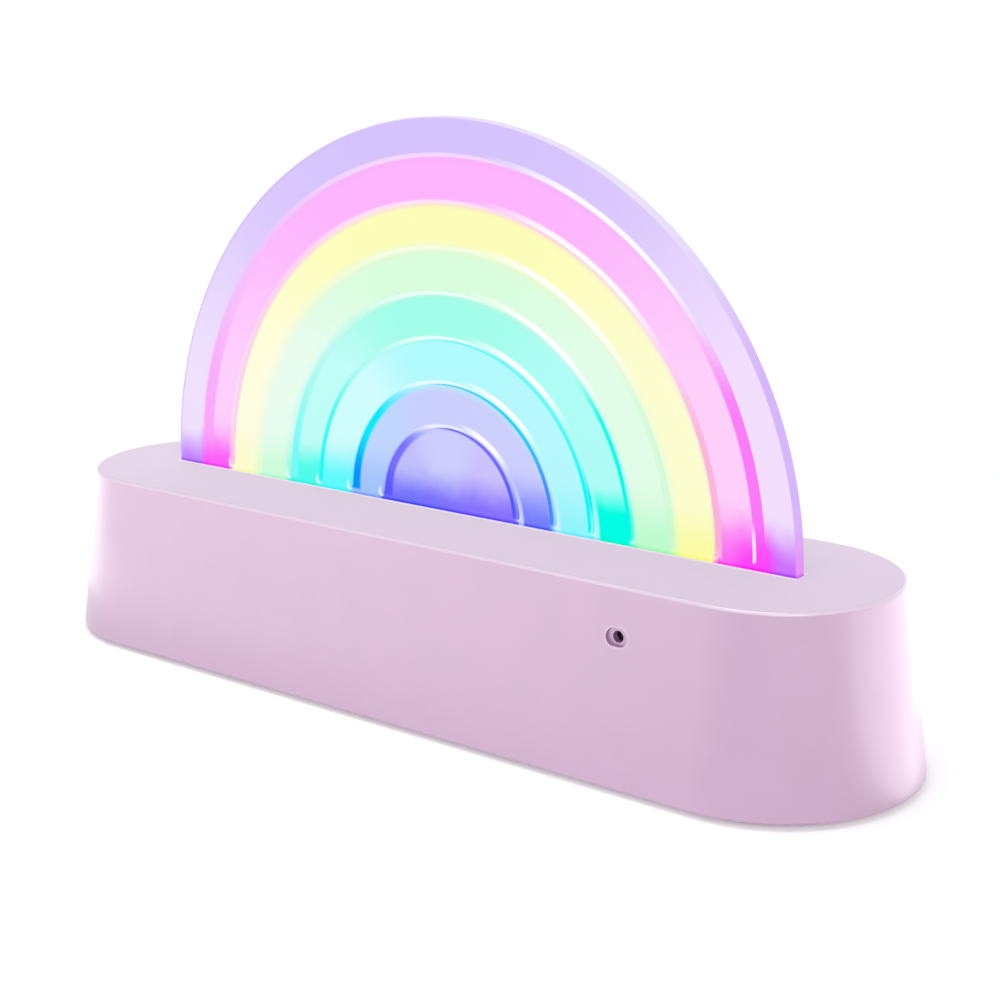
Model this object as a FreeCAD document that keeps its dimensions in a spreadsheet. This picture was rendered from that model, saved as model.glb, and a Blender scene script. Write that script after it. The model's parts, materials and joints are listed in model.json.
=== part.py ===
import FreeCAD, Part
import math
import os
import Sketcher
from types import SimpleNamespace
from FreeCAD import Placement, Rotation, Vector

# Rainbow table lamp: a grooved half-disc light panel that stands in an obround base.
# Millimetres, +X along the base, -Y to the front, +Z up.
# The origin is on the table, under the middle of the base.

doc = FreeCAD.newDocument("rainbow_lamp")
sheet = doc.addObject("Spreadsheet::Sheet", "sizes")

SIZES = {
    # Light panel
    "core_radius": 18.0,
    "band_wide": 7.6,
    "groove_wide": 2.0,
    "groove_deep": 1.1,
    "groove_lift": 0.7,
    "band_count": 7,
    "panel_thick": 3.0,
    "panel_sink": 1.0,
    "panel_edge": 0.3,
    "tongue_drop": 6.0,
    "shoulder_wide": 4.0,
    "slot_gap": 0.15,
    # Base shell
    "end_reach": 24.8,
    "base_wide": 60.8,
    "base_tall": 38.8,
    "draft_in": 5.4,
    "wall": 2.2,
    "roof": 2.5,
    "top_round": 0.8,
    "rim_round": 0.6,
    "boss_radius": 3.2,
    "boss_root": 0.5,
    # Base plate and feet
    "plate_thick": 2.2,
    "plate_gap": 0.3,
    "pad_radius": 4.5,
    "pad_tall": 2.0,
    "screw_inset": 16.0,
    "screw_side": 10.0,
    "head_sink": 0.4,
    "foot_proud": 1.0,
    "foot_radius": 5.0,
    "foot_sink": 0.6,
    "foot_round": 0.4,
    "foot_inset": 32.0,
    "foot_edge": 13.4,
    # Screws
    "screw_radius": 1.3,
    "screw_gap": 0.05,
    "pass_gap": 0.3,
    "head_radius": 2.5,
    "head_tall": 1.8,
    "cross_wide": 0.7,
    "cross_deep": 0.8,
    "base_reach": 9.0,
    "tray_reach": 6.5,
    "board_reach": 6.0,
    "bore_spare": 1.0,
    # LEDs, their board, divider and tray
    "led_side": 5.0,
    "led_tall": 1.6,
    "lens_radius": 2.0,
    "lens_deep": 0.2,
    "led_room": 3.0,
    "led_gap": 0.5,
    "led_board_wide": 8.0,
    "led_board_thick": 1.2,
    "guide_deep": 2.0,
    "guide_gap": 0.15,
    "tray_wall": 1.6,
    "tray_gap": 0.2,
    "ear_x": 45.0,
    "ear_side": 10.0,
    "ear_half": 4.0,
    # Control board and its headers
    "board_len": 64.0,
    "board_thick": 1.6,
    "board_gap": 0.6,
    "board_inset": 3.2,
    "post_tall": 6.0,
    "post_radius": 2.8,
    "chip_len": 10.0,
    "chip_wide": 6.0,
    "chip_tall": 1.8,
    "header_len": 5.0,
    "header_wide": 3.8,
    "header_tall": 4.6,
    "header_split": 4.6,
    # Ribbon from the control board to the LED board
    "ribbon_wide": 3.2,
    "ribbon_thick": 0.9,
    "ribbon_stub": 1.0,
    "ribbon_side": 1.9,
    "ribbon_low_x": 18.0,
    "ribbon_high_x": 38.0,
    "plug_tall": 3.5,
    # Rear control recess
    "recess_wide": 60.0,
    "recess_tall": 15.0,
    "recess_sink": 0.7,
    "recess_wall": 2.0,
    "control_gap": 3.6,
    # Mode button and its switch
    "button_radius": 4.6,
    "button_gap": 0.3,
    "button_proud": 1.3,
    "button_round": 0.5,
    "lip_wide": 1.1,
    "lip_thick": 1.0,
    "hub_radius": 1.9,
    "hub_len": 0.8,
    "press_travel": 0.8,
    "tact_wide": 6.2,
    "tact_deep": 4.5,
    "tact_tall": 4.4,
    "plunger_radius": 1.5,
    "plunger_gap": 0.3,
    "plunger_proud": 1.4,
    "plunger_sunk": 1.2,
    # Power slide knob and its switch
    "knob_len": 6.0,
    "knob_tall": 3.4,
    "knob_gap": 0.3,
    "knob_proud": 1.3,
    "knob_lip": 1.0,
    "ridge_wide": 0.6,
    "ridge_deep": 0.5,
    "slide_travel": 3.0,
    "switch_len": 9.0,
    "switch_deep": 4.4,
    "switch_tall": 4.0,
    "lever_side": 1.6,
    "lever_gap": 0.3,
    "lever_sunk": 1.5,
    # Charging inlet
    "inlet_wide": 8.9,
    "inlet_tall": 3.3,
    "inlet_deep": 7.4,
    "inlet_skin": 0.35,
    "inlet_cave": 6.0,
    "inlet_gap": 0.3,
    "tongue_wide": 6.4,
    "tongue_thick": 0.7,
    "tongue_len": 4.4,
    # Rechargeable cell and its clips
    "cell_radius": 9.15,
    "cell_len": 65.0,
    "cell_round": 0.6,
    "cell_lift": 0.4,
    "cell_gap": 0.08,
    "clip_x": 22.0,
    "clip_thick": 3.0,
    "clip_wall": 1.8,
    "clip_rise": 4.0,
    "clip_gap": 0.5,
    "cap_radius": 4.0,
    "cap_thick": 0.8,
    # Microphone behind the front hole
    "mic_x": 60.9,
    "mic_drop": 9.7,
    "dimple_len": 4.8,
    "dimple_tall": 3.5,
    "dimple_deep": 0.7,
    "mic_hole": 1.2,
    "capsule_radius": 3.0,
    "capsule_len": 3.4,
    "boot_wall": 1.5,
    "boot_len": 5.0,
    "boot_gap": 0.1,
    "collar_wall": 1.2,
    "collar_len": 3.0,
    # Leads
    "mic_lead": 0.75,
    "cell_lead": 0.9,
}

for row, (name, value) in enumerate(SIZES.items(), start=1):
    sheet.set(f"A{row}", name)
    sheet.set(f"B{row}", str(value))
    sheet.setAlias(f"B{row}", name)
doc.recompute()


class Size:
    """A length as a number, with the formula that ties it to the sheet."""

    def __init__(self, value, formula=None):
        self.value = float(value)
        self.formula = formula or repr(float(value))

    def joined(self, other, sign, value):
        return Size(value, f"({self.formula} {sign} {as_size(other).formula})")

    def __add__(self, other):
        return self.joined(other, "+", self.value + as_size(other).value)

    def __sub__(self, other):
        return self.joined(other, "-", self.value - as_size(other).value)

    def __mul__(self, other):
        return self.joined(other, "*", self.value * as_size(other).value)

    def __truediv__(self, other):
        return self.joined(other, "/", self.value / as_size(other).value)

    def __neg__(self):
        return Size(-self.value, f"(-1 * {self.formula})")


def as_size(item):
    """A plain number as a size, and a size as it is."""
    return item if isinstance(item, Size) else Size(item)


size = SimpleNamespace(**{name: Size(sheet.get(name), f"sizes.{name}") for name in SIZES})

# Heights, from the table up
rim = size.foot_proud
top = rim + size.base_tall
ceiling = top - size.roof
tongue_end = ceiling - size.tongue_drop
led_board_top = tongue_end - size.led_room
led_board_low = led_board_top - size.led_board_thick
tray_low = led_board_low - size.tray_wall
plate_top = rim + size.plate_thick
pad_top = plate_top + size.pad_tall
board_low = plate_top + size.post_tall
board_top = board_low + size.board_thick
control_z = board_top + size.tact_tall / 2
cell_z = plate_top + size.cell_lift + size.cell_radius
mic_z = top - size.mic_drop

# Panel and base outline
ring = size.band_wide + size.groove_wide
panel_radius = size.core_radius + ring * size.band_count
panel_centre = top - size.panel_sink
tongue_half = panel_radius + size.shoulder_wide
base_len = (panel_radius + size.end_reach) * 2
lean = size.draft_in / size.base_tall
draft = Size(math.degrees(math.atan(lean.value)), f"atan({lean.formula})")


def outer_y(height):
    """How far the outer face of the long walls stands from the middle at one height."""
    return size.base_wide / 2 - lean * (height - rim)


def inner_y(height):
    """How far the inner face of the long walls stands from the middle at one height."""
    return outer_y(height) - size.wall


# Depths, from the middle of the base to its rear wall and its front wall
recess_floor = outer_y(control_z + size.recess_tall / 2) - size.recess_sink
recess_back = recess_floor - size.recess_wall
board_rear = recess_back - size.lip_thick - size.press_travel - size.board_gap
cell_y = -(inner_y(cell_z + size.clip_rise) - size.clip_gap - size.clip_wall - size.cell_radius)
board_front = cell_y + size.cell_radius + size.clip_wall + size.board_gap
boot_radius = size.capsule_radius + size.boot_wall
boot_front = -(inner_y(mic_z + boot_radius) - size.boot_gap)

# Places that several pieces share
screw_places = [(base_len / 2 - size.screw_inset, size.screw_side)]
foot_places = [(base_len / 2 - size.foot_inset, size.base_wide / 2 - size.foot_edge)]
ear_places = [(size.ear_x, size.ear_side)]
board_screw_x = size.board_len / 2 - size.board_inset
control_pitch = board_screw_x - size.head_radius - size.control_gap - size.switch_len / 2
button_x = as_size(0)
knob_x = -control_pitch
inlet_x = control_pitch
knob_rest = knob_x + size.slide_travel / 2


def mirrored(places):
    """The four corners that one place gives when it is mirrored across X and Y."""
    x, y = places[0]
    return [(x, y), (-x, y), (-x, -y), (x, -y)]


post_places = [
    (x, y)
    for x in (board_screw_x, -board_screw_x)
    for y in (board_rear - size.board_inset, board_front + size.board_inset)
]


# Sketches and features

def origin_plane(body, role):
    """One of the body's own origin planes."""
    return next(item for item in body.Origin.OriginFeatures if item.Role == role)


def new_body(label):
    """An empty body, named after the piece that it becomes."""
    body = doc.addObject("PartDesign::Body", label)
    body.Label = label
    return body


def sketch_on(body, role, offset, name):
    """A sketch on an origin plane of the body, moved along the plane's normal."""
    sketch = body.newObject("Sketcher::SketchObject", f"{body.Name}_{name}")
    sketch.AttachmentSupport = [(origin_plane(body, role), "")]
    sketch.MapMode = "FlatFace"
    sketch.setExpression(".AttachmentOffset.Base.z", as_size(offset).formula)
    return sketch


def upright(body, y, name):
    """A sketch that stands across the depth at one place: its X is +X and its Y is +Z."""
    return sketch_on(body, "XZ_Plane", -as_size(y), name)


def bind(sketch, kind, where, length):
    """A dimension of the sketch, tied to its formula."""
    length = as_size(length)
    index = sketch.addConstraint(Sketcher.Constraint(kind, *where, length.value))
    sketch.setExpression(f"Constraints[{index}]", length.formula)


def fix_point(sketch, curve, point, x, y):
    """Holds one point of a curve at a distance from the sketch's origin."""
    bind(sketch, "DistanceX", (-1, 1, curve, point), x)
    bind(sketch, "DistanceY", (-1, 1, curve, point), y)


def polygon(sketch, corners):
    """A closed outline of straight lines through the given corners."""
    corners = [(as_size(x), as_size(y)) for x, y in corners]
    first = sketch.GeometryCount
    count = len(corners)
    for index in range(count):
        x, y = corners[index]
        next_x, next_y = corners[(index + 1) % count]
        line = Part.LineSegment(Vector(x.value, y.value, 0), Vector(next_x.value, next_y.value, 0))
        sketch.addGeometry(line, False)
    for index in range(count):
        after = first + (index + 1) % count
        sketch.addConstraint(Sketcher.Constraint("Coincident", first + index, 2, after, 1))
    for index, (x, y) in enumerate(corners):
        fix_point(sketch, first + index, 1, x, y)


def rectangle(sketch, x, y, wide, tall):
    """A rectangle about its middle."""
    x, y, wide, tall = as_size(x), as_size(y), as_size(wide), as_size(tall)
    left, right = x - wide / 2, x + wide / 2
    low, high = y - tall / 2, y + tall / 2
    polygon(sketch, [(left, low), (right, low), (right, high), (left, high)])


def circle(sketch, x, y, radius):
    """A circle about its middle."""
    x, y, radius = as_size(x), as_size(y), as_size(radius)
    middle = Vector(x.value, y.value, 0)
    curve = sketch.addGeometry(Part.Circle(middle, Vector(0, 0, 1), radius.value), False)
    fix_point(sketch, curve, 3, x, y)
    bind(sketch, "Radius", (curve,), radius)


def stadium(sketch, x, y, wide, tall):
    """An outline with two straight sides and two half-round ends, about its middle."""
    x, y, wide, tall = as_size(x), as_size(y), as_size(wide), as_size(tall)
    radius = tall / 2
    right, left = x + wide / 2 - radius, x - wide / 2 + radius
    low, high = y - radius, y + radius
    quarter = math.pi / 2
    right_circle = Part.Circle(Vector(right.value, y.value, 0), Vector(0, 0, 1), radius.value)
    left_circle = Part.Circle(Vector(left.value, y.value, 0), Vector(0, 0, 1), radius.value)
    right_end = sketch.addGeometry(Part.ArcOfCircle(right_circle, -quarter, quarter), False)
    left_end = sketch.addGeometry(Part.ArcOfCircle(left_circle, quarter, 3 * quarter), False)
    high_line = Part.LineSegment(Vector(right.value, high.value, 0), Vector(left.value, high.value, 0))
    low_line = Part.LineSegment(Vector(left.value, low.value, 0), Vector(right.value, low.value, 0))
    high_side = sketch.addGeometry(high_line, False)
    low_side = sketch.addGeometry(low_line, False)
    sketch.addConstraint(Sketcher.Constraint("Tangent", right_end, 2, high_side, 1))
    sketch.addConstraint(Sketcher.Constraint("Tangent", high_side, 2, left_end, 1))
    sketch.addConstraint(Sketcher.Constraint("Tangent", left_end, 2, low_side, 1))
    sketch.addConstraint(Sketcher.Constraint("Tangent", low_side, 2, right_end, 1))
    sketch.addConstraint(Sketcher.Constraint("Equal", right_end, left_end))
    fix_point(sketch, right_end, 3, right, y)
    fix_point(sketch, left_end, 3, left, y)
    bind(sketch, "Radius", (right_end,), radius)


def volume_of(body):
    """The body's volume so far, or nothing when it has no solid yet."""
    return 0.0 if body.Shape.isNull() else body.Shape.Volume


def extrude(body, kind, sketch, name, length=None, reverse=False, taper=None, face=None):
    """A pad or pocket of one sketch, whose effect on the volume is compared."""
    before = volume_of(body)
    feature = body.newObject(f"PartDesign::{kind}", f"{body.Name}_{name}")
    feature.Profile = sketch
    feature.Reversed = reverse
    if face is not None:
        feature.Type = "UpToFace"
        feature.UpToFace = face
    elif length is None:
        feature.Type = "ThroughAll"
    else:
        feature.setExpression("Length", as_size(length).formula)
    if taper is not None:
        feature.setExpression("TaperAngle", taper.formula)
    doc.recompute()
    change = feature.Shape.Volume - before
    if change * (1 if kind == "Pad" else -1) <= 0:
        raise RuntimeError(f"{feature.Name} changes the volume by {change}")
    return feature


def pad(body, sketch, name, length, reverse=False, taper=None):
    return extrude(body, "Pad", sketch, name, length, reverse, taper)


def pocket(body, sketch, name, length=None, reverse=False, taper=None):
    return extrude(body, "Pocket", sketch, name, length, reverse, taper)


def face_at(feature, x, y, z):
    """The face of a feature that holds one point."""
    point = Part.Vertex(Vector(x, y, z))
    for index, face in enumerate(feature.Shape.Faces, start=1):
        if face.distToShape(point)[0] < 0.001:
            return (feature, [f"Face{index}"])
    raise RuntimeError(f"{feature.Name} has no face at {x}, {y}, {z}")


def round_edges(body, name, radius, chosen):
    """A fillet on every edge of the body that the test chooses."""
    base = body.Tip
    names = [f"Edge{i}" for i, edge in enumerate(base.Shape.Edges, start=1) if chosen(edge.BoundBox)]
    feature = body.newObject("PartDesign::Fillet", f"{body.Name}_{name}")
    feature.Base = (base, names)
    feature.setExpression("Radius", radius.formula)
    doc.recompute()


def level_at(height):
    """A test for edges that lie flat at one height."""
    return lambda box: abs(box.ZMin - height.value) < 0.001 and abs(box.ZMax - height.value) < 0.001


def across_at(depth):
    """A test for edges that stand flat at one place across the depth."""
    return lambda box: abs(box.YMin - depth.value) < 0.001 and abs(box.YMax - depth.value) < 0.001


# Primitives

def place(item, x, y, z):
    """Ties the item's position to three formulas."""
    for axis, length in zip("xyz", (x, y, z)):
        item.setExpression(f".Placement.Base.{axis}", as_size(length).formula)


def box(name, x, y, z, wide, deep, tall):
    """A block about its middle in X and Y, standing on z."""
    wide, deep, tall = as_size(wide), as_size(deep), as_size(tall)
    item = doc.addObject("Part::Box", name)
    item.setExpression("Length", wide.formula)
    item.setExpression("Width", deep.formula)
    item.setExpression("Height", tall.formula)
    place(item, as_size(x) - wide / 2, as_size(y) - deep / 2, z)
    return item


def rod(name, x, y, z, radius, length, turn=None):
    """A cylinder that starts at a point and runs up, or along the turned axis."""
    item = doc.addObject("Part::Cylinder", name)
    item.setExpression("Radius", as_size(radius).formula)
    item.setExpression("Height", as_size(length).formula)
    if turn is not None:
        item.Placement = Placement(Vector(0, 0, 0), turn)
    place(item, x, y, z)
    return item


ALONG_X = Rotation(Vector(0, 1, 0), 90)
ALONG_Y = Rotation(Vector(1, 0, 0), -90)


def cut(label, base, tools):
    """The base with every tool taken out of it."""
    tool = tools[0]
    if len(tools) > 1:
        tool = fuse(f"{label}_tools", tools)
    item = doc.addObject("Part::Cut", label)
    item.Base = base
    item.Tool = tool
    item.Label = label
    return item


def fuse(label, pieces):
    """Several solids joined into one."""
    item = doc.addObject("Part::MultiFuse", label)
    item.Shapes = pieces
    item.Refine = True
    item.Label = label
    return item


# Base shell: a tapered obround moulding, open below, with its slot, bosses and rear recess

def make_base_shell():
    body = new_body("base_shell")
    outline = sketch_on(body, "XY_Plane", rim, "outline")
    stadium(outline, 0, 0, base_len, size.base_wide)
    pad(body, outline, "block", size.base_tall, taper=-draft)
    round_edges(body, "top_round", size.top_round, level_at(top))
    round_edges(body, "rim_round", size.rim_round, level_at(rim))

    inside = sketch_on(body, "XY_Plane", rim, "inside")
    stadium(inside, 0, 0, base_len - size.wall * 2, size.base_wide - size.wall * 2)
    hollow = pocket(body, inside, "hollow", size.base_tall - size.roof, reverse=True, taper=-draft)

    rear_wall = face_at(hollow, 0, inner_y(control_z).value, control_z.value)
    backing = upright(body, recess_back, "backing")
    margin = size.recess_wall * 2
    rectangle(backing, 0, control_z, size.recess_wide + margin, size.recess_tall + margin)
    extrude(body, "Pad", backing, "rear_backing", reverse=True, face=rear_wall)

    recess = upright(body, recess_floor, "recess")
    stadium(recess, 0, control_z, size.recess_wide, size.recess_tall)
    pocket(body, recess, "rear_recess")

    openings = upright(body, recess_back, "openings")
    circle(openings, button_x, control_z, size.button_radius + size.button_gap)
    slot_len = size.knob_len + size.slide_travel + size.knob_gap * 2
    rectangle(openings, knob_x, knob_z, slot_len, size.knob_tall + size.knob_gap * 2)
    inlet_room = size.inlet_gap * 2
    stadium(openings, inlet_x, inlet_z, size.inlet_wide + inlet_room, size.inlet_tall + inlet_room)
    pocket(body, openings, "rear_openings")

    columns = sketch_on(body, "XY_Plane", pad_top, "columns")
    for x, y in mirrored(screw_places):
        circle(columns, x, y, size.boss_radius)
    pad(body, columns, "screw_bosses", ceiling - pad_top + size.boss_root)

    hangers = sketch_on(body, "XY_Plane", led_board_low, "hangers")
    for x, y in mirrored(ear_places):
        circle(hangers, x, y, size.boss_radius)
    pad(body, hangers, "tray_bosses", ceiling - led_board_low + size.boss_root)

    bore = size.screw_radius + size.screw_gap
    low_bores = sketch_on(body, "XY_Plane", pad_top, "low_bores")
    for x, y in mirrored(screw_places):
        circle(low_bores, x, y, bore)
    pocket(body, low_bores, "screw_bores", size.base_reach + size.bore_spare, reverse=True)
    high_bores = sketch_on(body, "XY_Plane", led_board_low, "high_bores")
    for x, y in mirrored(ear_places):
        circle(high_bores, x, y, bore)
    pocket(body, high_bores, "tray_bores", size.tray_reach + size.bore_spare, reverse=True)

    slot = sketch_on(body, "XY_Plane", top, "slot")
    slot_room = size.slot_gap * 2
    rectangle(slot, 0, 0, panel_radius * 2 + slot_room, size.panel_thick + slot_room)
    pocket(body, slot, "panel_slot", size.roof)

    front_wall = face_at(body.Tip, -size.mic_x.value, -inner_y(mic_z).value, mic_z.value)
    collar = upright(body, boot_front + size.collar_len, "collar")
    collar_bore = boot_radius + size.boot_gap
    circle(collar, size.mic_x, mic_z, collar_bore + size.collar_wall)
    circle(collar, size.mic_x, mic_z, collar_bore)
    extrude(body, "Pad", collar, "mic_collar", face=front_wall)

    dimple_floor = -(outer_y(mic_z) - size.dimple_deep)
    dimple = upright(body, dimple_floor, "dimple")
    stadium(dimple, size.mic_x, mic_z, size.dimple_len, size.dimple_tall)
    pocket(body, dimple, "mic_dimple", reverse=True)
    hole = upright(body, dimple_floor, "hole")
    circle(hole, size.mic_x, mic_z, size.mic_hole)
    pocket(body, hole, "mic_hole", size.wall)
    return body


# Base plate: closes the shell from below and carries the feet, the control board and the cell

def make_base_plate():
    body = new_body("base_plate")
    edge = (size.wall + size.plate_gap) * 2
    outline = sketch_on(body, "XY_Plane", rim, "outline")
    stadium(outline, 0, 0, base_len - edge, size.base_wide - edge)
    pad(body, outline, "sheet", size.plate_thick, taper=-draft)

    seats = sketch_on(body, "XY_Plane", plate_top, "seats")
    for x, y in mirrored(screw_places):
        circle(seats, x, y, size.pad_radius)
    pad(body, seats, "screw_pads", size.pad_tall)

    posts = sketch_on(body, "XY_Plane", plate_top, "posts")
    for x, y in post_places:
        circle(posts, x, y, size.post_radius)
    pad(body, posts, "board_posts", size.post_tall)

    clips = sketch_on(body, "XY_Plane", plate_top, "clips")
    clip_wide = (size.cell_radius + size.clip_wall) * 2
    for x in (size.clip_x, -size.clip_x):
        rectangle(clips, x, cell_y, size.clip_thick, clip_wide)
    pad(body, clips, "cell_clips", cell_z + size.clip_rise - plate_top)

    cradle = sketch_on(body, "YZ_Plane", -size.clip_x - size.clip_thick, "cradle")
    circle(cradle, cell_y, cell_z, size.cell_radius + size.cell_gap)
    pocket(body, cradle, "cell_cradle", (size.clip_x + size.clip_thick) * 2, reverse=True)

    heads = sketch_on(body, "XY_Plane", rim, "heads")
    for x, y in mirrored(screw_places):
        circle(heads, x, y, size.head_radius + size.pass_gap)
    pocket(body, heads, "head_bores", size.head_tall + size.head_sink, reverse=True)

    shanks = sketch_on(body, "XY_Plane", rim, "shanks")
    for x, y in mirrored(screw_places):
        circle(shanks, x, y, size.screw_radius + size.pass_gap)
    pocket(body, shanks, "shank_bores", size.plate_thick + size.pad_tall, reverse=True)

    post_bores = sketch_on(body, "XY_Plane", board_low, "post_bores")
    for x, y in post_places:
        circle(post_bores, x, y, size.screw_radius + size.screw_gap)
    pocket(body, post_bores, "post_bores", size.board_reach - size.board_thick + size.bore_spare)

    dents = sketch_on(body, "XY_Plane", rim, "dents")
    for x, y in mirrored(foot_places):
        circle(dents, x, y, size.foot_radius + size.screw_gap)
    pocket(body, dents, "foot_dents", size.foot_sink, reverse=True)
    return body


def make_foot(label, x, y):
    """A round rubber foot, set into the base plate."""
    body = new_body(label)
    disc = sketch_on(body, "XY_Plane", 0, "disc")
    circle(disc, x, y, size.foot_radius)
    pad(body, disc, "foot", size.foot_proud + size.foot_sink)
    round_edges(body, "foot_round", size.foot_round, level_at(as_size(0)))
    return body


def make_screw(label, x, y, seat, reach, head_below):
    """A pan-head screw with a cross recess: its head bears on the seat."""
    if head_below:
        head_z, shank_z = seat - size.head_tall, seat
        cross_z = head_z
    else:
        head_z, shank_z = seat, seat - reach
        cross_z = seat + size.head_tall - size.cross_deep
    head = rod(f"{label}_head", x, y, head_z, size.head_radius, size.head_tall)
    shank = rod(f"{label}_shank", x, y, shank_z, size.screw_radius, reach)
    cross_len = size.screw_radius * 2
    long_way = box(f"{label}_long", x, y, cross_z, cross_len, size.cross_wide, size.cross_deep)
    short_way = box(f"{label}_short", x, y, cross_z, size.cross_wide, cross_len, size.cross_deep)
    return cut(label, fuse(f"{label}_solid", [head, shank]), [long_way, short_way])


# Light panel: a half disc over a tongue with shoulders, grooved on its front face

def make_light_panel():
    body = new_body("light_panel")
    front = -size.panel_thick / 2
    outline = upright(body, front, "outline")
    reach = panel_radius
    disc = Part.Circle(Vector(0, panel_centre.value, 0), Vector(0, 0, 1), reach.value)
    arch = outline.addGeometry(Part.ArcOfCircle(disc, 0, math.pi), False)
    corners = [
        (-reach, panel_centre),
        (-reach, ceiling),
        (-tongue_half, ceiling),
        (-tongue_half, tongue_end),
        (tongue_half, tongue_end),
        (tongue_half, ceiling),
        (reach, ceiling),
        (reach, panel_centre),
    ]
    sides = []
    for (x, z), (next_x, next_z) in zip(corners, corners[1:]):
        line = Part.LineSegment(Vector(x.value, z.value, 0), Vector(next_x.value, next_z.value, 0))
        sides.append(outline.addGeometry(line, False))
    for side, after in zip(sides, sides[1:]):
        outline.addConstraint(Sketcher.Constraint("Coincident", side, 2, after, 1))
    for side, (x, z) in zip(sides[1:], corners[1:]):
        fix_point(outline, side, 1, x, z)
    outline.addConstraint(Sketcher.Constraint("Coincident", arch, 2, sides[0], 1))
    outline.addConstraint(Sketcher.Constraint("Coincident", arch, 1, sides[-1], 2))
    bind(outline, "DistanceY", (-1, 1, arch, 1), panel_centre)
    bind(outline, "DistanceY", (-1, 1, arch, 2), panel_centre)
    fix_point(outline, arch, 3, 0, panel_centre)
    bind(outline, "Radius", (arch,), reach)
    pad(body, outline, "plate", size.panel_thick, reverse=True)
    crown = (panel_centre + panel_radius).value
    round_edges(body, "arch_round", size.panel_edge, lambda edge: abs(edge.ZMax - crown) < 0.001)

    for index in range(int(size.band_count.value)):
        middle = size.core_radius + size.groove_wide / 2 + ring * index
        half = size.groove_wide / 2
        section = body.newObject("Sketcher::SketchObject", f"groove_section_{index + 1}")
        section.AttachmentSupport = [(origin_plane(body, "YZ_Plane"), "")]
        section.MapMode = "FlatFace"
        section.setExpression(".AttachmentOffset.Base.y", panel_centre.formula)
        outside = front - size.groove_deep
        polygon(section, [
            (outside, middle - half),
            (front, middle - half),
            (front + size.groove_deep, middle),
            (front, middle + half),
            (outside, middle + half),
        ])
        before = body.Shape.Volume
        groove = body.newObject("PartDesign::Groove", f"groove_{index + 1}")
        groove.Profile = section
        groove.ReferenceAxis = (section, ["H_Axis"])
        groove.Midplane = True
        rise = (size.groove_lift + size.panel_sink) / middle
        groove.setExpression("Angle", f"180 deg - 2 * asin({rise.formula})")
        doc.recompute()
        if groove.Shape.Volume >= before:
            raise RuntimeError(f"{groove.Name} cuts nothing")
    return body


# LED stack: tray, board, divider and LEDs under the panel's tongue

led_places = [size.core_radius / 2]
for band in range(int(size.band_count.value)):
    led_places.append(size.core_radius + size.groove_wide + size.band_wide / 2 + ring * band)
led_places = [-x for x in reversed(led_places)] + led_places


def make_led_tray():
    body = new_body("led_tray")
    room_len = (tongue_half + size.tray_gap) * 2
    room_wide = size.led_board_wide + size.tray_gap * 2
    wall = size.tray_wall * 2
    outline = sketch_on(body, "XY_Plane", tray_low, "outline")
    rectangle(outline, 0, 0, room_len + wall, room_wide + wall)
    pad(body, outline, "block", ceiling - size.tray_gap - tray_low)
    room = sketch_on(body, "XY_Plane", led_board_low, "room")
    rectangle(room, 0, 0, room_len, room_wide)
    pocket(body, room, "channel", reverse=True)
    ears = sketch_on(body, "XY_Plane", tray_low, "ears")
    for x in (size.ear_x, -size.ear_x):
        rectangle(ears, x, 0, size.ear_half * 2, (size.ear_side + size.ear_half) * 2)
    pad(body, ears, "ears", size.tray_wall)
    holes = sketch_on(body, "XY_Plane", tray_low, "holes")
    for x, y in mirrored(ear_places):
        circle(holes, x, y, size.screw_radius + size.pass_gap)
    plug_room = size.tray_gap * 2
    rectangle(holes, size.ribbon_high_x, size.ribbon_side,
              size.header_len + plug_room, size.header_wide + plug_room)
    pocket(body, holes, "floor_holes", size.tray_wall, reverse=True)
    return body


def make_light_divider():
    body = new_body("light_divider")
    outline = sketch_on(body, "XY_Plane", led_board_top, "outline")
    rectangle(outline, 0, 0, tongue_half * 2, size.led_board_wide)
    pad(body, outline, "block", size.led_room + size.guide_deep)
    windows = sketch_on(body, "XY_Plane", led_board_top, "windows")
    window = size.led_side + size.led_gap * 2
    for x in led_places:
        rectangle(windows, x, 0, window, window)
    pocket(body, windows, "windows", size.led_room, reverse=True)
    guide = sketch_on(body, "XY_Plane", tongue_end, "guide")
    rectangle(guide, 0, 0, tongue_half * 2, size.panel_thick + size.guide_gap * 2)
    pocket(body, guide, "guide", reverse=True)
    return body


def make_led(label, x):
    """A square LED with a shallow round lens window."""
    package = box(f"{label}_package", x, 0, led_board_top, size.led_side, size.led_side, size.led_tall)
    lens_z = led_board_top + size.led_tall - size.lens_deep
    lens = rod(f"{label}_lens", x, 0, lens_z, size.lens_radius, size.lens_deep)
    return cut(label, package, [lens])


# Control board with what is soldered to it

board_y = (board_front + board_rear) / 2
header_x = board_screw_x - size.head_radius - size.board_gap - size.header_len / 2
header_face = header_x + size.header_len / 2
knob_z = board_top + size.switch_tall / 2
inlet_z = board_top + size.inlet_tall / 2


def make_control_board():
    body = new_body("control_board")
    outline = sketch_on(body, "XY_Plane", board_low, "outline")
    rectangle(outline, 0, board_y, size.board_len, board_rear - board_front)
    pad(body, outline, "sheet", size.board_thick)
    holes = sketch_on(body, "XY_Plane", board_low, "holes")
    for x, y in post_places:
        circle(holes, x, y, size.screw_radius + size.pass_gap)
    pocket(body, holes, "holes", reverse=True)
    return body


def make_header(label, x, y):
    """A socket block on the control board that a lead plugs into."""
    return box(label, x, y, board_top, size.header_len, size.header_wide, size.header_tall)


# Mode button: a round cap with an inner lip, a hub and the switch that it presses

lip_back = recess_back - size.lip_thick
hub_back = lip_back - size.hub_len
tact_front = hub_back - size.plunger_proud


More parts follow.
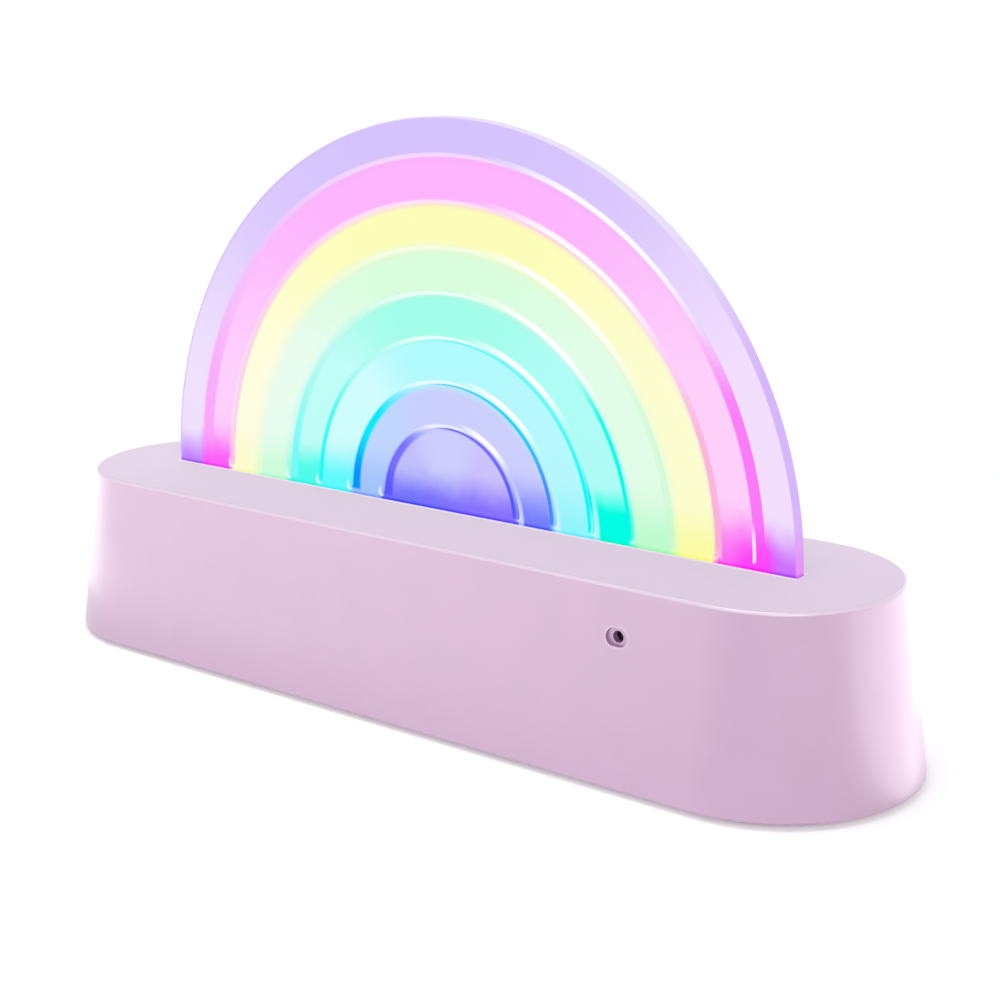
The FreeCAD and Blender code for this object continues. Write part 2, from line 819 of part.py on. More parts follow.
def make_mode_button():
    body = new_body("mode_button")
    lip = upright(body, lip_back, "lip")
    circle(lip, button_x, control_z, size.button_radius + size.lip_wide)
    pad(body, lip, "lip", size.lip_thick, reverse=True)
    stem = upright(body, lip_back, "stem")
    circle(stem, button_x, control_z, size.button_radius)
    face = recess_floor + size.button_proud
    pad(body, stem, "stem", face - lip_back, reverse=True)
    hub = upright(body, hub_back, "hub")
    circle(hub, button_x, control_z, size.hub_radius)
    pad(body, hub, "hub", size.hub_len, reverse=True)
    round_edges(body, "button_round", size.button_round, across_at(face))
    return body


def make_mode_switch():
    """The switch body, bored for its plunger."""
    block = box("mode_switch_block", button_x, tact_front - size.tact_deep / 2, board_top,
                size.tact_wide, size.tact_deep, size.tact_tall)
    depth = size.plunger_sunk + size.press_travel + size.plunger_gap
    bore = rod("mode_switch_bore", button_x, tact_front - depth, control_z,
               size.plunger_radius + size.plunger_gap, depth, ALONG_Y)
    return cut("mode_switch", block, [bore])


def make_mode_plunger():
    """The plunger, which the button's hub rests on."""
    plunger = rod("mode_plunger", button_x, tact_front - size.plunger_sunk, control_z,
                  size.plunger_radius, size.plunger_sunk + size.plunger_proud, ALONG_Y)
    plunger.Label = "mode_plunger"
    return plunger


# Power slide knob: a ridged grip on a lip that covers its slot, with the switch that it slides

slide_back = recess_back - size.knob_gap - size.knob_lip
switch_front = board_rear


def make_power_knob():
    body = new_body("power_knob")
    slot_len = size.knob_len + size.slide_travel + size.knob_gap * 2
    cover = upright(body, slide_back, "cover")
    lip_len = slot_len + size.slide_travel + size.knob_lip
    rectangle(cover, knob_rest, knob_z, lip_len, size.knob_tall + size.knob_lip * 2)
    pad(body, cover, "lip", size.knob_lip, reverse=True)
    grip = upright(body, slide_back, "grip")
    rectangle(grip, knob_rest, knob_z, size.knob_len, size.knob_tall)
    grip_face = recess_floor + size.knob_proud
    pad(body, grip, "grip", grip_face - slide_back, reverse=True)
    ridges = upright(body, grip_face, "ridges")
    for step in (-1, 0, 1):
        x = knob_rest + size.ridge_wide * 2.5 * step
        rectangle(ridges, x, knob_z, size.ridge_wide, size.knob_tall)
    pocket(body, ridges, "ridges", size.ridge_deep, reverse=True)
    socket = upright(body, slide_back, "socket")
    rectangle(socket, knob_rest, knob_z, size.lever_side, size.lever_side)
    pocket(body, socket, "socket", size.knob_lip)
    return body


def make_power_switch():
    """The slide switch body, slotted for its lever."""
    block = box("power_switch_block", knob_x, switch_front - size.switch_deep / 2, board_top,
                size.switch_len, size.switch_deep, size.switch_tall)
    way = size.lever_side + size.slide_travel + size.lever_gap * 2
    deep = size.lever_sunk + size.lever_gap
    tall = size.lever_side + size.lever_gap * 2
    slot = box("power_switch_slot", knob_x, switch_front - deep / 2, knob_z - tall / 2, way, deep, tall)
    return cut("power_switch", block, [slot])


def make_power_lever():
    """The lever, which the knob's socket holds."""
    length = size.lever_sunk + slide_back - switch_front + size.knob_lip
    middle = switch_front - size.lever_sunk + length / 2
    lever = box("power_lever", knob_rest, middle, knob_z - size.lever_side / 2,
                size.lever_side, length, size.lever_side)
    lever.Label = "power_lever"
    return lever


# Charging inlet: an oval metal socket with a contact tongue, flush in the rear recess

def make_charging_inlet():
    body = new_body("charging_inlet")
    mouth = recess_floor - size.inlet_gap
    skin = upright(body, mouth, "skin")
    stadium(skin, inlet_x, inlet_z, size.inlet_wide, size.inlet_tall)
    pad(body, skin, "skin", size.inlet_deep)
    cave = upright(body, mouth, "cave")
    inset = size.inlet_skin * 2
    stadium(cave, inlet_x, inlet_z, size.inlet_wide - inset, size.inlet_tall - inset)
    pocket(body, cave, "cave", size.inlet_cave, reverse=True)
    tongue = upright(body, mouth - size.inlet_cave, "tongue")
    rectangle(tongue, inlet_x, inlet_z, size.tongue_wide, size.tongue_thick)
    pad(body, tongue, "tongue", size.tongue_len, reverse=True)
    return body


# Rechargeable cell, lying along the base in its clips

def make_cell():
    body = new_body("battery_cell")
    can = sketch_on(body, "YZ_Plane", -size.cell_len / 2, "can")
    circle(can, cell_y, cell_z, size.cell_radius)
    pad(body, can, "can", size.cell_len)
    ends = (-size.cell_len.value / 2, size.cell_len.value / 2)
    round_edges(body, "can_round", size.cell_round,
                lambda edge: any(abs(edge.XMin - x) + abs(edge.XMax - x) < 0.001 for x in ends))
    return body


def make_cell_cap():
    """The insulator disc on the end of the cell that its lead leaves."""
    cap = rod("battery_cap", size.cell_len / 2, cell_y, cell_z, size.cap_radius, size.cap_thick, ALONG_X)
    cap.Label = "battery_cap"
    return cap


# Microphone capsule in its rubber boot, behind the front hole

def make_mic_boot():
    outer = rod("mic_boot_outer", size.mic_x, boot_front, mic_z, boot_radius, size.boot_len, ALONG_Y)
    bore = rod("mic_boot_bore", size.mic_x, boot_front, mic_z,
               size.capsule_radius + size.screw_gap, size.boot_len, ALONG_Y)
    return cut("mic_boot", outer, [bore])


def make_microphone():
    capsule = rod("microphone", size.mic_x, boot_front, mic_z,
                  size.capsule_radius, size.capsule_len, ALONG_Y)
    capsule.Label = "microphone"
    return capsule


# Leads: tubes of straight runs joined by arcs as large as the runs allow

ARC_SHARE = 0.45


def bent_path(name, points):
    """A wire through the points, with an arc at each turn."""
    edges = []
    start = points[0]
    radii = []
    for before, corner, after in zip(points, points[1:], points[2:]):
        way_in = (before - corner).normalize()
        way_out = (after - corner).normalize()
        turn = math.pi - way_in.getAngle(way_out)
        shorter = min((before - corner).Length, (after - corner).Length)
        radius = ARC_SHARE * shorter / math.tan(turn / 2)
        reach = ARC_SHARE * shorter
        radii.append(round(radius, 1))
        arc_start = corner + way_in * reach
        arc_end = corner + way_out * reach
        bisector = (way_in + way_out).normalize()
        middle = corner + bisector * (radius / math.cos(turn / 2) - radius)
        edges.append(Part.LineSegment(start, arc_start).toShape())
        edges.append(Part.Arc(arc_start, middle, arc_end).toShape())
        start = arc_end
    edges.append(Part.LineSegment(start, points[-1]).toShape())
    print(f"{name}: arc radii {radii} mm")
    return Part.Wire(edges)


def lead(label, points, radius):
    """A round lead along the points, whose volume is compared with its section and length."""
    path = bent_path(label, points)
    first = points[0]
    section = Part.Wire(Part.Circle(first, points[1] - first, radius).toShape())
    tube = path.makePipeShell([section], True, False)
    expected = math.pi * radius ** 2 * path.Length
    if abs(tube.Volume - expected) > 0.02 * expected:
        raise RuntimeError(f"{label} has volume {tube.Volume}, not {expected}")
    item = doc.addObject("Part::Feature", label)
    item.Shape = tube
    item.Placement = Placement()
    item.Label = label
    print(f"{label}: {path.Length:.1f} mm long")
    return item


def make_mic_lead():
    """From the back of the capsule, down behind the tray's ears, to the control board."""
    start = Vector(size.mic_x.value, (boot_front + size.capsule_len).value, mic_z.value)
    plug_z = (board_top + size.header_tall / 2).value
    end = Vector(header_face.value, (board_y + size.header_split / 2).value, plug_z)
    points = [
        start,
        start + Vector(0, 8.5, 0),
        start + Vector(0.3, 11.0, -9.5),
        start + Vector(-4.0, 19.5, -15.5),
        end + Vector(24.0, -3.0, 0.6),
        end + Vector(15.0, 0, 0),
        end,
    ]
    return lead("mic_lead", points, size.mic_lead.value)


def make_cell_lead():
    """From the end of the cell, round its clip, to the control board."""
    cap_end = size.cell_len + size.cap_thick * 2
    start = Vector(cap_end.value / 2, cell_y.value, cell_z.value)
    plug_z = (board_top + size.header_tall / 2).value
    end = Vector(header_face.value, (board_y - size.header_split / 2).value, plug_z)
    points = [
        start,
        start + Vector(7.0, 0, 0),
        start + Vector(11.0, 7.0, 0.2),
        end + Vector(17.0, -7.0, 0.1),
        end + Vector(13.0, 0, 0),
        end,
    ]
    return lead("battery_lead", points, size.cell_lead.value)


def make_ribbon():
    """A flat ribbon, bent twice, from the header up to the plug under the LED board."""
    low = (board_top + size.header_tall).value
    high = (led_board_low - size.plug_tall).value
    stub = size.ribbon_stub.value
    bend = (high - low) / 2 - stub
    low_x, high_x = size.ribbon_low_x.value, size.ribbon_high_x.value
    side = size.ribbon_side.value
    level = low + stub + bend
    slack = bend * (1 - math.sqrt(0.5))

    def at(x, z):
        return Vector(x, side, z)

    path = Part.Wire([
        Part.LineSegment(at(low_x, low), at(low_x, low + stub)).toShape(),
        Part.Arc(at(low_x, low + stub), at(low_x + slack, level - slack), at(low_x + bend, level)).toShape(),
        Part.LineSegment(at(low_x + bend, level), at(high_x - bend, level)).toShape(),
        Part.Arc(at(high_x - bend, level), at(high_x - slack, level + slack), at(high_x, level + bend)).toShape(),
        Part.LineSegment(at(high_x, level + bend), at(high_x, high)).toShape(),
    ])
    half_wide, half_thick = size.ribbon_wide.value / 2, size.ribbon_thick.value / 2
    corners = [
        Vector(low_x - half_thick, side - half_wide, low),
        Vector(low_x + half_thick, side - half_wide, low),
        Vector(low_x + half_thick, side + half_wide, low),
        Vector(low_x - half_thick, side + half_wide, low),
    ]
    section = Part.makePolygon(corners + corners[:1])
    ribbon = path.makePipeShell([section], True, False)
    expected = size.ribbon_wide.value * size.ribbon_thick.value * path.Length
    if abs(ribbon.Volume - expected) > 0.02 * expected:
        raise RuntimeError(f"the ribbon has volume {ribbon.Volume}, not {expected}")
    item = doc.addObject("Part::Feature", "led_ribbon")
    item.Shape = ribbon
    item.Placement = Placement()
    item.Label = "led_ribbon"
    return item


# Assembly

parts = [
    make_base_shell(),
    make_base_plate(),
    make_light_panel(),
    make_led_tray(),
    make_light_divider(),
    make_control_board(),
    make_mode_button(),
    make_mode_switch(),
    make_mode_plunger(),
    make_power_knob(),
    make_power_switch(),
    make_power_lever(),
    make_charging_inlet(),
    make_cell(),
    make_cell_cap(),
    make_mic_boot(),
    make_microphone(),
    make_mic_lead(),
    make_cell_lead(),
    make_ribbon(),
]

led_board = box("led_board", 0, 0, led_board_low, tongue_half * 2, size.led_board_wide, size.led_board_thick)
chip = box("controller_chip", -control_pitch / 2, board_y, board_top,
           size.chip_len, size.chip_wide, size.chip_tall)
mic_header = make_header("mic_header", header_x, board_y + size.header_split / 2)
cell_header = make_header("battery_header", header_x, board_y - size.header_split / 2)
ribbon_header = make_header("ribbon_header", size.ribbon_low_x, size.ribbon_side)
ribbon_plug = box("ribbon_plug", size.ribbon_high_x, size.ribbon_side, led_board_low - size.plug_tall,
                  size.header_len, size.header_wide, size.plug_tall)
parts += [led_board, chip, mic_header, cell_header, ribbon_header, ribbon_plug]

for number, x in enumerate(led_places, start=1):
    parts.append(make_led(f"led_{number:02d}", x))
for number, (x, y) in enumerate(mirrored(foot_places), start=1):
    parts.append(make_foot(f"foot_{number}", x, y))
for number, (x, y) in enumerate(mirrored(screw_places), start=1):
    seat = rim + size.head_tall + size.head_sink
    parts.append(make_screw(f"base_screw_{number}", x, y, seat, pad_top - seat + size.base_reach, True))
for number, (x, y) in enumerate(mirrored(ear_places), start=1):
    reach = size.tray_wall + size.tray_reach
    parts.append(make_screw(f"tray_screw_{number}", x, y, tray_low, reach, True))
for number, (x, y) in enumerate(post_places, start=1):
    parts.append(make_screw(f"board_screw_{number}", x, y, board_top, size.board_reach, False))

doc.recompute()

for item in doc.Objects:
    if "Invalid" in item.State or "Error" in item.State:
        raise RuntimeError(f"{item.Label} failed: {item.State}")
for item in parts:
    if item.Shape.isNull() or not item.Shape.isValid():
        raise RuntimeError(f"{item.Label} has no valid shape")

os.makedirs("parts", exist_ok=True)
for item in parts:
    item.Shape.exportStep(f"parts/{item.Label}.step")
print(f"{len(parts)} pieces written")
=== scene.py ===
# %% [markdown]
# # A rainbow table lamp, finished in Blender
#
# The lamp is a half disc of clear 3 mm sheet that stands in the slot of an obround base. Under the
# slot sits a row of coloured LEDs, one for each foot of each band, and their light climbs through
# the sheet. The measured parts come first and stay where they are. This lesson gives them their
# finishes, carves a finer light panel, and lights the lamp as a photographer would.

# %% Load the measured parts
import json
import math
from collections import namedtuple

import bmesh
import bpy
from mathutils import Color, Matrix, Vector


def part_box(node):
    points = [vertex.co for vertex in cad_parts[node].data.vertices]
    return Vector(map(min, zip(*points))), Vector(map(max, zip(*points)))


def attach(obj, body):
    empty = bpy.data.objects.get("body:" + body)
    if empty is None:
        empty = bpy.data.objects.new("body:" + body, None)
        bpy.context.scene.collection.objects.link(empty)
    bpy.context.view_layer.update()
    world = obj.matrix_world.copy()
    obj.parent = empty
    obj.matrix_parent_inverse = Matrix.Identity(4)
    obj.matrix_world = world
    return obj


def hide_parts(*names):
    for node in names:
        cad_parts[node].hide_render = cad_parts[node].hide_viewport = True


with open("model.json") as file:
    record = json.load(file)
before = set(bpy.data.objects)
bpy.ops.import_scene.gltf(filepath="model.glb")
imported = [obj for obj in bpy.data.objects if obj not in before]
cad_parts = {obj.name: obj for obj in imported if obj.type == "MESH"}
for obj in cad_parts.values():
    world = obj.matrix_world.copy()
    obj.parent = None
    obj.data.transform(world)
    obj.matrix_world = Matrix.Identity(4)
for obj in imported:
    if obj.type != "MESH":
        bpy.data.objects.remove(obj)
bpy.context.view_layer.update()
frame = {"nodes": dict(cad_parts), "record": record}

print("pieces:", len(frame["nodes"]))

# %% [markdown]
# ## The camera
#
# The photographer stood to the right of the lamp's front, a little above it, with a lens of about
# 62 mm. A camera can be aimed with a Track To constraint, but that leaves no room for the slight
# tilt of the real picture. So the three axes of the camera are worked out here and put straight
# into its matrix.

# %% Camera at the photograph's viewing angle
CAMERA_PLACE = Vector((0.23031, -0.28119, 0.13709))
CAMERA_TURN = math.radians(37.65)
CAMERA_RISE = math.radians(14.69)
CAMERA_TILT = math.radians(-0.61)
LENS_MM = 61.83

backward = Vector((
    math.sin(CAMERA_TURN) * math.cos(CAMERA_RISE),
    -math.cos(CAMERA_TURN) * math.cos(CAMERA_RISE),
    math.sin(CAMERA_RISE),
))
level = Vector((math.cos(CAMERA_TURN), math.sin(CAMERA_TURN), 0))
upright = backward.cross(level)
rightward = math.cos(CAMERA_TILT) * level + math.sin(CAMERA_TILT) * upright
upward = math.cos(CAMERA_TILT) * upright - math.sin(CAMERA_TILT) * level

lens = bpy.data.cameras.new("studio_camera")
lens.lens = LENS_MM
lens.sensor_width = 36
lens.clip_start = 0.01
camera = bpy.data.objects.new("studio_camera", lens)
bpy.context.scene.collection.objects.link(camera)
axes = Matrix((rightward, upward, backward)).transposed().to_4x4()
camera.matrix_world = Matrix.Translation(CAMERA_PLACE) @ axes
bpy.context.scene.camera = camera
print("camera distance in mm:", round(1000 * CAMERA_PLACE.length))

# %% [markdown]
# ## Helpers for node trees
#
# Every finish below is a small node tree. Building one with bare API calls takes many lines, so a
# few helpers keep the cells short. One adds a node, one links a socket or sets a plain value, one
# does sums, one turns a value softly from one level to another, and one mixes two colours. The last
# two turn a colour, as a screen or a paint shop gives it, into the light that Blender adds up.

# %% Helpers that add and join nodes
def add_node(tree, kind, **settings):
    """A new node with its settings."""
    node = tree.nodes.new(kind)
    for name, value in settings.items():
        setattr(node, name, value)
    return node


def feed(tree, item, socket):
    """Links an output to a socket, or sets the socket to a plain value."""
    if isinstance(item, bpy.types.NodeSocket):
        tree.links.new(item, socket)
    else:
        socket.default_value = item


def figure(tree, operation, *items):
    """The result of one sum on sockets or plain numbers."""
    node = add_node(tree, "ShaderNodeMath", operation=operation)
    for item, socket in zip(items, node.inputs):
        feed(tree, item, socket)
    return node.outputs[0]


def ease(tree, value, start, end, low=0.0, high=1.0):
    """Turns softly from low to high while the value goes from start to end."""
    node = add_node(tree, "ShaderNodeMapRange", interpolation_type="SMOOTHSTEP")
    for item, socket in zip((value, start, end, low, high), node.inputs):
        feed(tree, item, socket)
    return node.outputs[0]


# The Mix node lists sockets for every kind of data, and its colours stand in these places
FIRST_COLOUR, SECOND_COLOUR, MIXED_COLOUR = 6, 7, 2


def mixed(tree, share, first, second, blend="MIX"):
    """Two colours mixed by a share."""
    node = add_node(tree, "ShaderNodeMix", data_type="RGBA", blend_type=blend)
    feed(tree, share, node.inputs[0])
    feed(tree, first, node.inputs[FIRST_COLOUR])
    feed(tree, second, node.inputs[SECOND_COLOUR])
    return node.outputs[MIXED_COLOUR]


def as_light(colour):
    """A colour as the screen shows it, turned into light."""
    return (*colour.from_srgb_to_scene_linear(), 1.0)


def paint(red, green, blue):
    """A colour as a paint shop gives it, 0 to 255, turned into light."""
    return as_light(Color((red / 255, green / 255, blue / 255)))


print("lilac as light:", [round(part, 3) for part in paint(220, 188, 213)])

# %% [markdown]
# ## The studio
#
# The lamp was shot on white. The surround is white to the camera, to gloss and to see-through
# pieces, and a little dimmer as a lamp, so that the softboxes can still model the form. The floor
# is a pale sweep that keeps the lamp's own shadow. It glows faintly near the lamp and fully further
# out, where it has to vanish into the white. Seen from below it lets the view through, so that the
# feet can be looked at.

# %% Surround and floor
FILL = 0.34
FLOOR_REACH = 3.0
FLOOR_SIDES = 64
FLOOR_LIFT = 0.32
LIFT_START, LIFT_END = 0.25, 0.7


def seen_directly(tree):
    """One for the camera and for what gloss and clear pieces show, nought for plain lighting."""
    path = add_node(tree, "ShaderNodeLightPath")
    seen = figure(tree, "MAXIMUM", path.outputs["Is Camera Ray"], path.outputs["Is Glossy Ray"])
    return figure(tree, "MAXIMUM", seen, path.outputs["Is Transmission Ray"])


scene = bpy.context.scene
scene.view_settings.view_transform = "Standard"
surround = bpy.data.worlds.new("studio_surround")
surround.use_nodes = True
scene.world = surround
sky = surround.node_tree
backdrop = sky.nodes["Background"]
backdrop.inputs["Color"].default_value = (1, 1, 1, 1)
feed(sky, ease(sky, seen_directly(sky), 0, 1, FILL, 1), backdrop.inputs["Strength"])

sweep = bpy.data.meshes.new("floor_sweep")
steps = [2 * math.pi * step / FLOOR_SIDES for step in range(FLOOR_SIDES)]
rim = [(FLOOR_REACH * math.cos(turn), FLOOR_REACH * math.sin(turn), 0) for turn in steps]
sweep.from_pydata(rim, [], [list(range(FLOOR_SIDES))])
floor = bpy.data.objects.new("floor_sweep", sweep)
scene.collection.objects.link(floor)

floor_paint = bpy.data.materials.new("floor_paint")
floor_paint.use_nodes = True
tree = floor_paint.node_tree
sheen = tree.nodes["Principled BSDF"]
sheen.inputs["Base Color"].default_value = paint(246, 246, 246)
sheen.inputs["Roughness"].default_value = 0.9
sheen.inputs["Specular IOR Level"].default_value = 0.0
sheen.inputs["Emission Color"].default_value = (1, 1, 1, 1)
spot = add_node(tree, "ShaderNodeTexCoord")
reach = add_node(tree, "ShaderNodeVectorMath", operation="LENGTH")
feed(tree, spot.outputs["Object"], reach.inputs[0])
lift = ease(tree, reach.outputs["Value"], LIFT_START, LIFT_END, FLOOR_LIFT, 1.0)
feed(tree, figure(tree, "MULTIPLY", lift, seen_directly(tree)), sheen.inputs["Emission Strength"])
side = add_node(tree, "ShaderNodeNewGeometry")
clear = add_node(tree, "ShaderNodeBsdfTransparent")
either = add_node(tree, "ShaderNodeMixShader")
feed(tree, side.outputs["Backfacing"], either.inputs[0])
feed(tree, sheen.outputs[0], either.inputs[1])
feed(tree, clear.outputs[0], either.inputs[2])
feed(tree, either.outputs[0], tree.nodes["Material Output"].inputs[0])
sweep.materials.append(floor_paint)
print("floor across in m:", 2 * FLOOR_REACH)

# %% [markdown]
# ## Softboxes and light cards
#
# Four softboxes and four light cards do the work of the studio. A long low box at the front left
# lays a pale veil over the front, because the camera stands at the front right and sees its
# reflection there. A high one at the front right brings out the colour. A cool one behind makes the
# top paler than the front, and a broad one overhead lights the top evenly and draws a bright line
# along its rounded edge. The walls lean back and so mirror the floor. That is why the ends fade to
# white: a glowing card lies on the floor beyond each of them, and one behind the base. A small one
# in front whitens the middle of the front wall. The camera doesn't see the boxes or the cards, just
# as a photographer keeps them out of the picture. Each row gives a place, the point that the box is
# aimed at, its two sides and its power. A card lies flat, so it needs no aim.

# %% Four softboxes, four cards
SOFTBOXES = (
    ("front_left", (-0.62, -0.80, 0.08), (0.0, 0.0, 0.03), (0.9, 0.16), 1.05),
    ("front_right", (0.62, -0.58, 0.50), (0.06, 0.0, 0.03), (0.5, 0.5), 2.42),
    ("behind", (-0.28, 0.70, 0.28), (0.0, 0.0, 0.04), (1.2, 0.4), 1.4),
    ("high", (-0.1, -0.12, 0.95), (0.0, 0.0, 0.04), (0.5, 0.5), 3.1),
)
CARDS = (
    ("right_card", (0.356, 0.25), (0.486, 0.5), 1.2),
    ("left_card", (-0.34, 0.01), (0.4, 0.22), 0.48),
    ("rear_card", (0.02, 0.28), (0.186, 0.46), 0.5),
    ("front_card", (-0.08, -0.105), (0.22, 0.07), 0.03),
)
CARD_LIFT = 0.0005
TINTS = {"behind": (0.76, 0.88, 1.0), "high": (0.93, 0.97, 1.0)}


def set_up(name, place, aim, sides, power):
    """A lamp with two sides in metres that shines from a place along its aim."""
    box = bpy.data.lights.new(name, "AREA")
    box.shape = "RECTANGLE"
    box.size, box.size_y = sides
    box.energy = power
    box.color = TINTS.get(name, (1.0, 1.0, 1.0))
    lamp = bpy.data.objects.new(name, box)
    lamp.location = place
    lamp.visible_camera = False
    lamp.rotation_euler = aim.to_track_quat("-Z", "Y").to_euler()
    scene.collection.objects.link(lamp)


for name, place, target, sides, power in SOFTBOXES:
    aim = Vector(target) - Vector(place)
    set_up(name, place, aim, sides, power)
    print(name, "stands", round(aim.length, 2), "m away")
for name, (across, back), sides, power in CARDS:
    set_up(name, (across, back, CARD_LIFT), Vector((0, 0, 1)), sides, power)
print("cards:", len(CARDS))

# %% [markdown]
# ## A grained finish
#
# Moulded plastic, drawn metal and rubber all share one recipe: a colour that drifts a little, a
# gloss that drifts with it, and a fine grain that bends the light. A picture could carry that, but
# noise worked out from the place on the piece has no seams and stays sharp at any distance. The
# size of the grain is given in millimetres, and a stretch along one axis turns grain into brushing.

# %% The recipe for grained finishes
MM = 0.001
CLOUD_GRAINS = 40
GLOSS_DRIFT = 0.08


def grained_finish(name, colour, gloss, grain, relief, drift=0.05, stretch=(1, 1, 1), **sockets):
    """A finish with drifting colour and gloss and a fine grain, in millimetres."""
    finish = bpy.data.materials.new(name)
    finish.use_nodes = True
    tree = finish.node_tree
    shader = tree.nodes["Principled BSDF"]
    for socket, value in sockets.items():
        shader.inputs[socket.replace("_", " ")].default_value = value
    spot = add_node(tree, "ShaderNodeTexCoord")
    scaled = add_node(tree, "ShaderNodeMapping")
    scaled.inputs["Scale"].default_value = stretch
    feed(tree, spot.outputs["Object"], scaled.inputs["Vector"])

    clouds = add_node(tree, "ShaderNodeTexNoise")
    feed(tree, scaled.outputs[0], clouds.inputs["Vector"])
    clouds.inputs["Scale"].default_value = 1 / (CLOUD_GRAINS * grain * MM)
    clouds.inputs["Detail"].default_value = 4.0
    drifted = ease(tree, clouds.outputs["Fac"], 0.3, 0.7)
    darker = tuple(part * (1 - drift) for part in colour[:3]) + (1.0,)
    feed(tree, mixed(tree, drifted, darker, colour), shader.inputs["Base Color"])

    specks = add_node(tree, "ShaderNodeTexNoise")
    feed(tree, scaled.outputs[0], specks.inputs["Vector"])
    specks.inputs["Scale"].default_value = 1 / (grain * MM)
    specks.inputs["Detail"].default_value = 2.0
    smooth, rough = gloss * (1 - GLOSS_DRIFT), gloss * (1 + GLOSS_DRIFT)
    feed(tree, ease(tree, specks.outputs["Fac"], 0.2, 0.8, smooth, rough), shader.inputs["Roughness"])
    bump = add_node(tree, "ShaderNodeBump")
    bump.inputs["Distance"].default_value = relief * MM
    feed(tree, specks.outputs["Fac"], bump.inputs["Height"])
    feed(tree, bump.outputs[0], shader.inputs["Normal"])
    return finish


finishes = {}
print("recipe ready")

# %% [markdown]
# ## The base: satin lilac plastic
#
# The base is one injection moulding under a thin pearly lacquer with a soft touch, so its
# highlights are broad and its colour is even. The grain is a fraction of a millimetre: too fine to
# see at arm's length, but it is what keeps the long front from looking like glass. The lacquer is
# the Coat of the shader, with the high index of pearl pigment, and the soft touch is its Sheen.
# Both grow as a surface turns away, so the top and the ends are paler than the front. The plate
# below and the rear controls are the same family, one a little coarser and one a little paler.

# %% Shell, plate and controls
finishes["shell_plastic"] = grained_finish(
    "satin_lilac", paint(213, 170, 206), gloss=0.42, grain=0.25, relief=0.002, drift=0.03,
    Specular_IOR_Level=0.0, Coat_Weight=1.0, Coat_Roughness=0.35, Coat_IOR=2.1,
    Sheen_Weight=0.3, Sheen_Roughness=0.65)
finishes["plate_plastic"] = grained_finish(
    "grained_lilac", paint(206, 176, 200), gloss=0.6, grain=0.5, relief=0.02, drift=0.06)
finishes["control_plastic"] = grained_finish(
    "pale_lilac", paint(236, 222, 236), gloss=0.32, grain=0.2, relief=0.002, drift=0.04)
print("plastics:", sorted(finishes))

# %% [markdown]
# ## The light panel's sheet
#
# The panel is a half disc over a tongue. The tongue and its two shoulders hang under the roof of
# the base and keep the panel from being pulled out. Its measures are read from the measured part,
# so that the finer panel sits exactly where that one does. Everything here is in millimetres until
# the mesh is made.

# %% Measures of the sheet
panel_low, panel_high = (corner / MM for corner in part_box("light_panel"))
base_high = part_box("base_shell")[1] / MM
PANEL_SINK = 1.0
ROOF = 2.5
BASE_TOP = base_high.z
CENTRE_Z = BASE_TOP - PANEL_SINK
RADIUS = panel_high.z - CENTRE_Z
FRONT_Y, BACK_Y = panel_low.y, panel_high.y
SHOULDER_X = panel_high.x
SHOULDER_Z = BASE_TOP - ROOF
TONGUE_Z = panel_low.z
print("sheet:", round(BACK_Y - FRONT_Y, 2), "mm thick, radius", round(RADIUS, 2))

# %% [markdown]
# ## Grooves and pillowed bands
#
# Seven grooves part the front into seven bands and a core. On the real panel they are milled with a
# pointed cutter that starts just above the base, and polishing has rounded the shoulders and left
# each band faintly pillowed. One formula gives the depth at any point: the distance to the cutter's
# path, run through a soft ramp. That rounds the shoulders, the bottom and the ends of the grooves
# all at once.

# %% How deep the front lies at a point
CORE_RADIUS = 18.0
GROOVE_HALF = 1.0
RING_STEP = 9.6
GROOVES = 7
FIRST_GROOVE = CORE_RADIUS + GROOVE_HALF
GROOVE_LIFT = 0.7
WALL_SLOPE = 1.1
SHOULDER_SOFT = 0.1
BOTTOM_SOFT = 0.1
PILLOW = 0.12
PILLOW_START = 3.0


def groove_depth(radius, height):
    """The depth of the front below its flat sheet, at a height above the base."""
    ring = min(max(round((radius - FIRST_GROOVE) / RING_STEP), 0), GROOVES - 1)
    aside = radius - FIRST_GROOVE - RING_STEP * ring
    below = max(0.0, GROOVE_LIFT + GROOVE_HALF - height)
    away = math.hypot(aside, below, BOTTOM_SOFT)
    cut = WALL_SLOPE * SHOULDER_SOFT * math.log1p(math.exp((GROOVE_HALF - away) / SHOULDER_SOFT))
    clear_of_base = min(max(height / PILLOW_START, 0.0), 1.0)
    if radius < FIRST_GROOVE - RING_STEP / 2:
        return cut
    across = 1 - abs(aside) / (RING_STEP / 2)
    return cut + PILLOW * clear_of_base * max(across, 0.0) ** 2


print("depth at a groove:", round(groove_depth(FIRST_GROOVE, 20), 2))

# %% [markdown]
# ## Stations of the grid
#
# The front is a polar grid. Even spacing would spend most points on flat bands, so the stations
# crowd where the shape turns: across each groove, at the bevel of the rim, and close to the base,
# where the grooves end. The pole of the grid lies below the top of the base, out of sight.

# %% Where the grid has its points
BEVEL = 0.35
BEVEL_STEPS = 4
GROOVE_OFFSETS = (0.0, 0.12, 0.28, 0.46, 0.64, 0.8, 0.92, 1.04, 1.18, 1.4, 1.8, 2.8)
CORE_RADII = (0.0, 8.0, 14.0)
BACK_RADII = (0.0, 30.0, 60.0)
BEVEL_CLEAR = RADIUS - 3 * BEVEL
FIRST_TURN, FINE_END = 0.7, 14
FINEST_TURN, TURN_GROWTH, WIDEST_TURN = 0.12, 0.06, 1.5

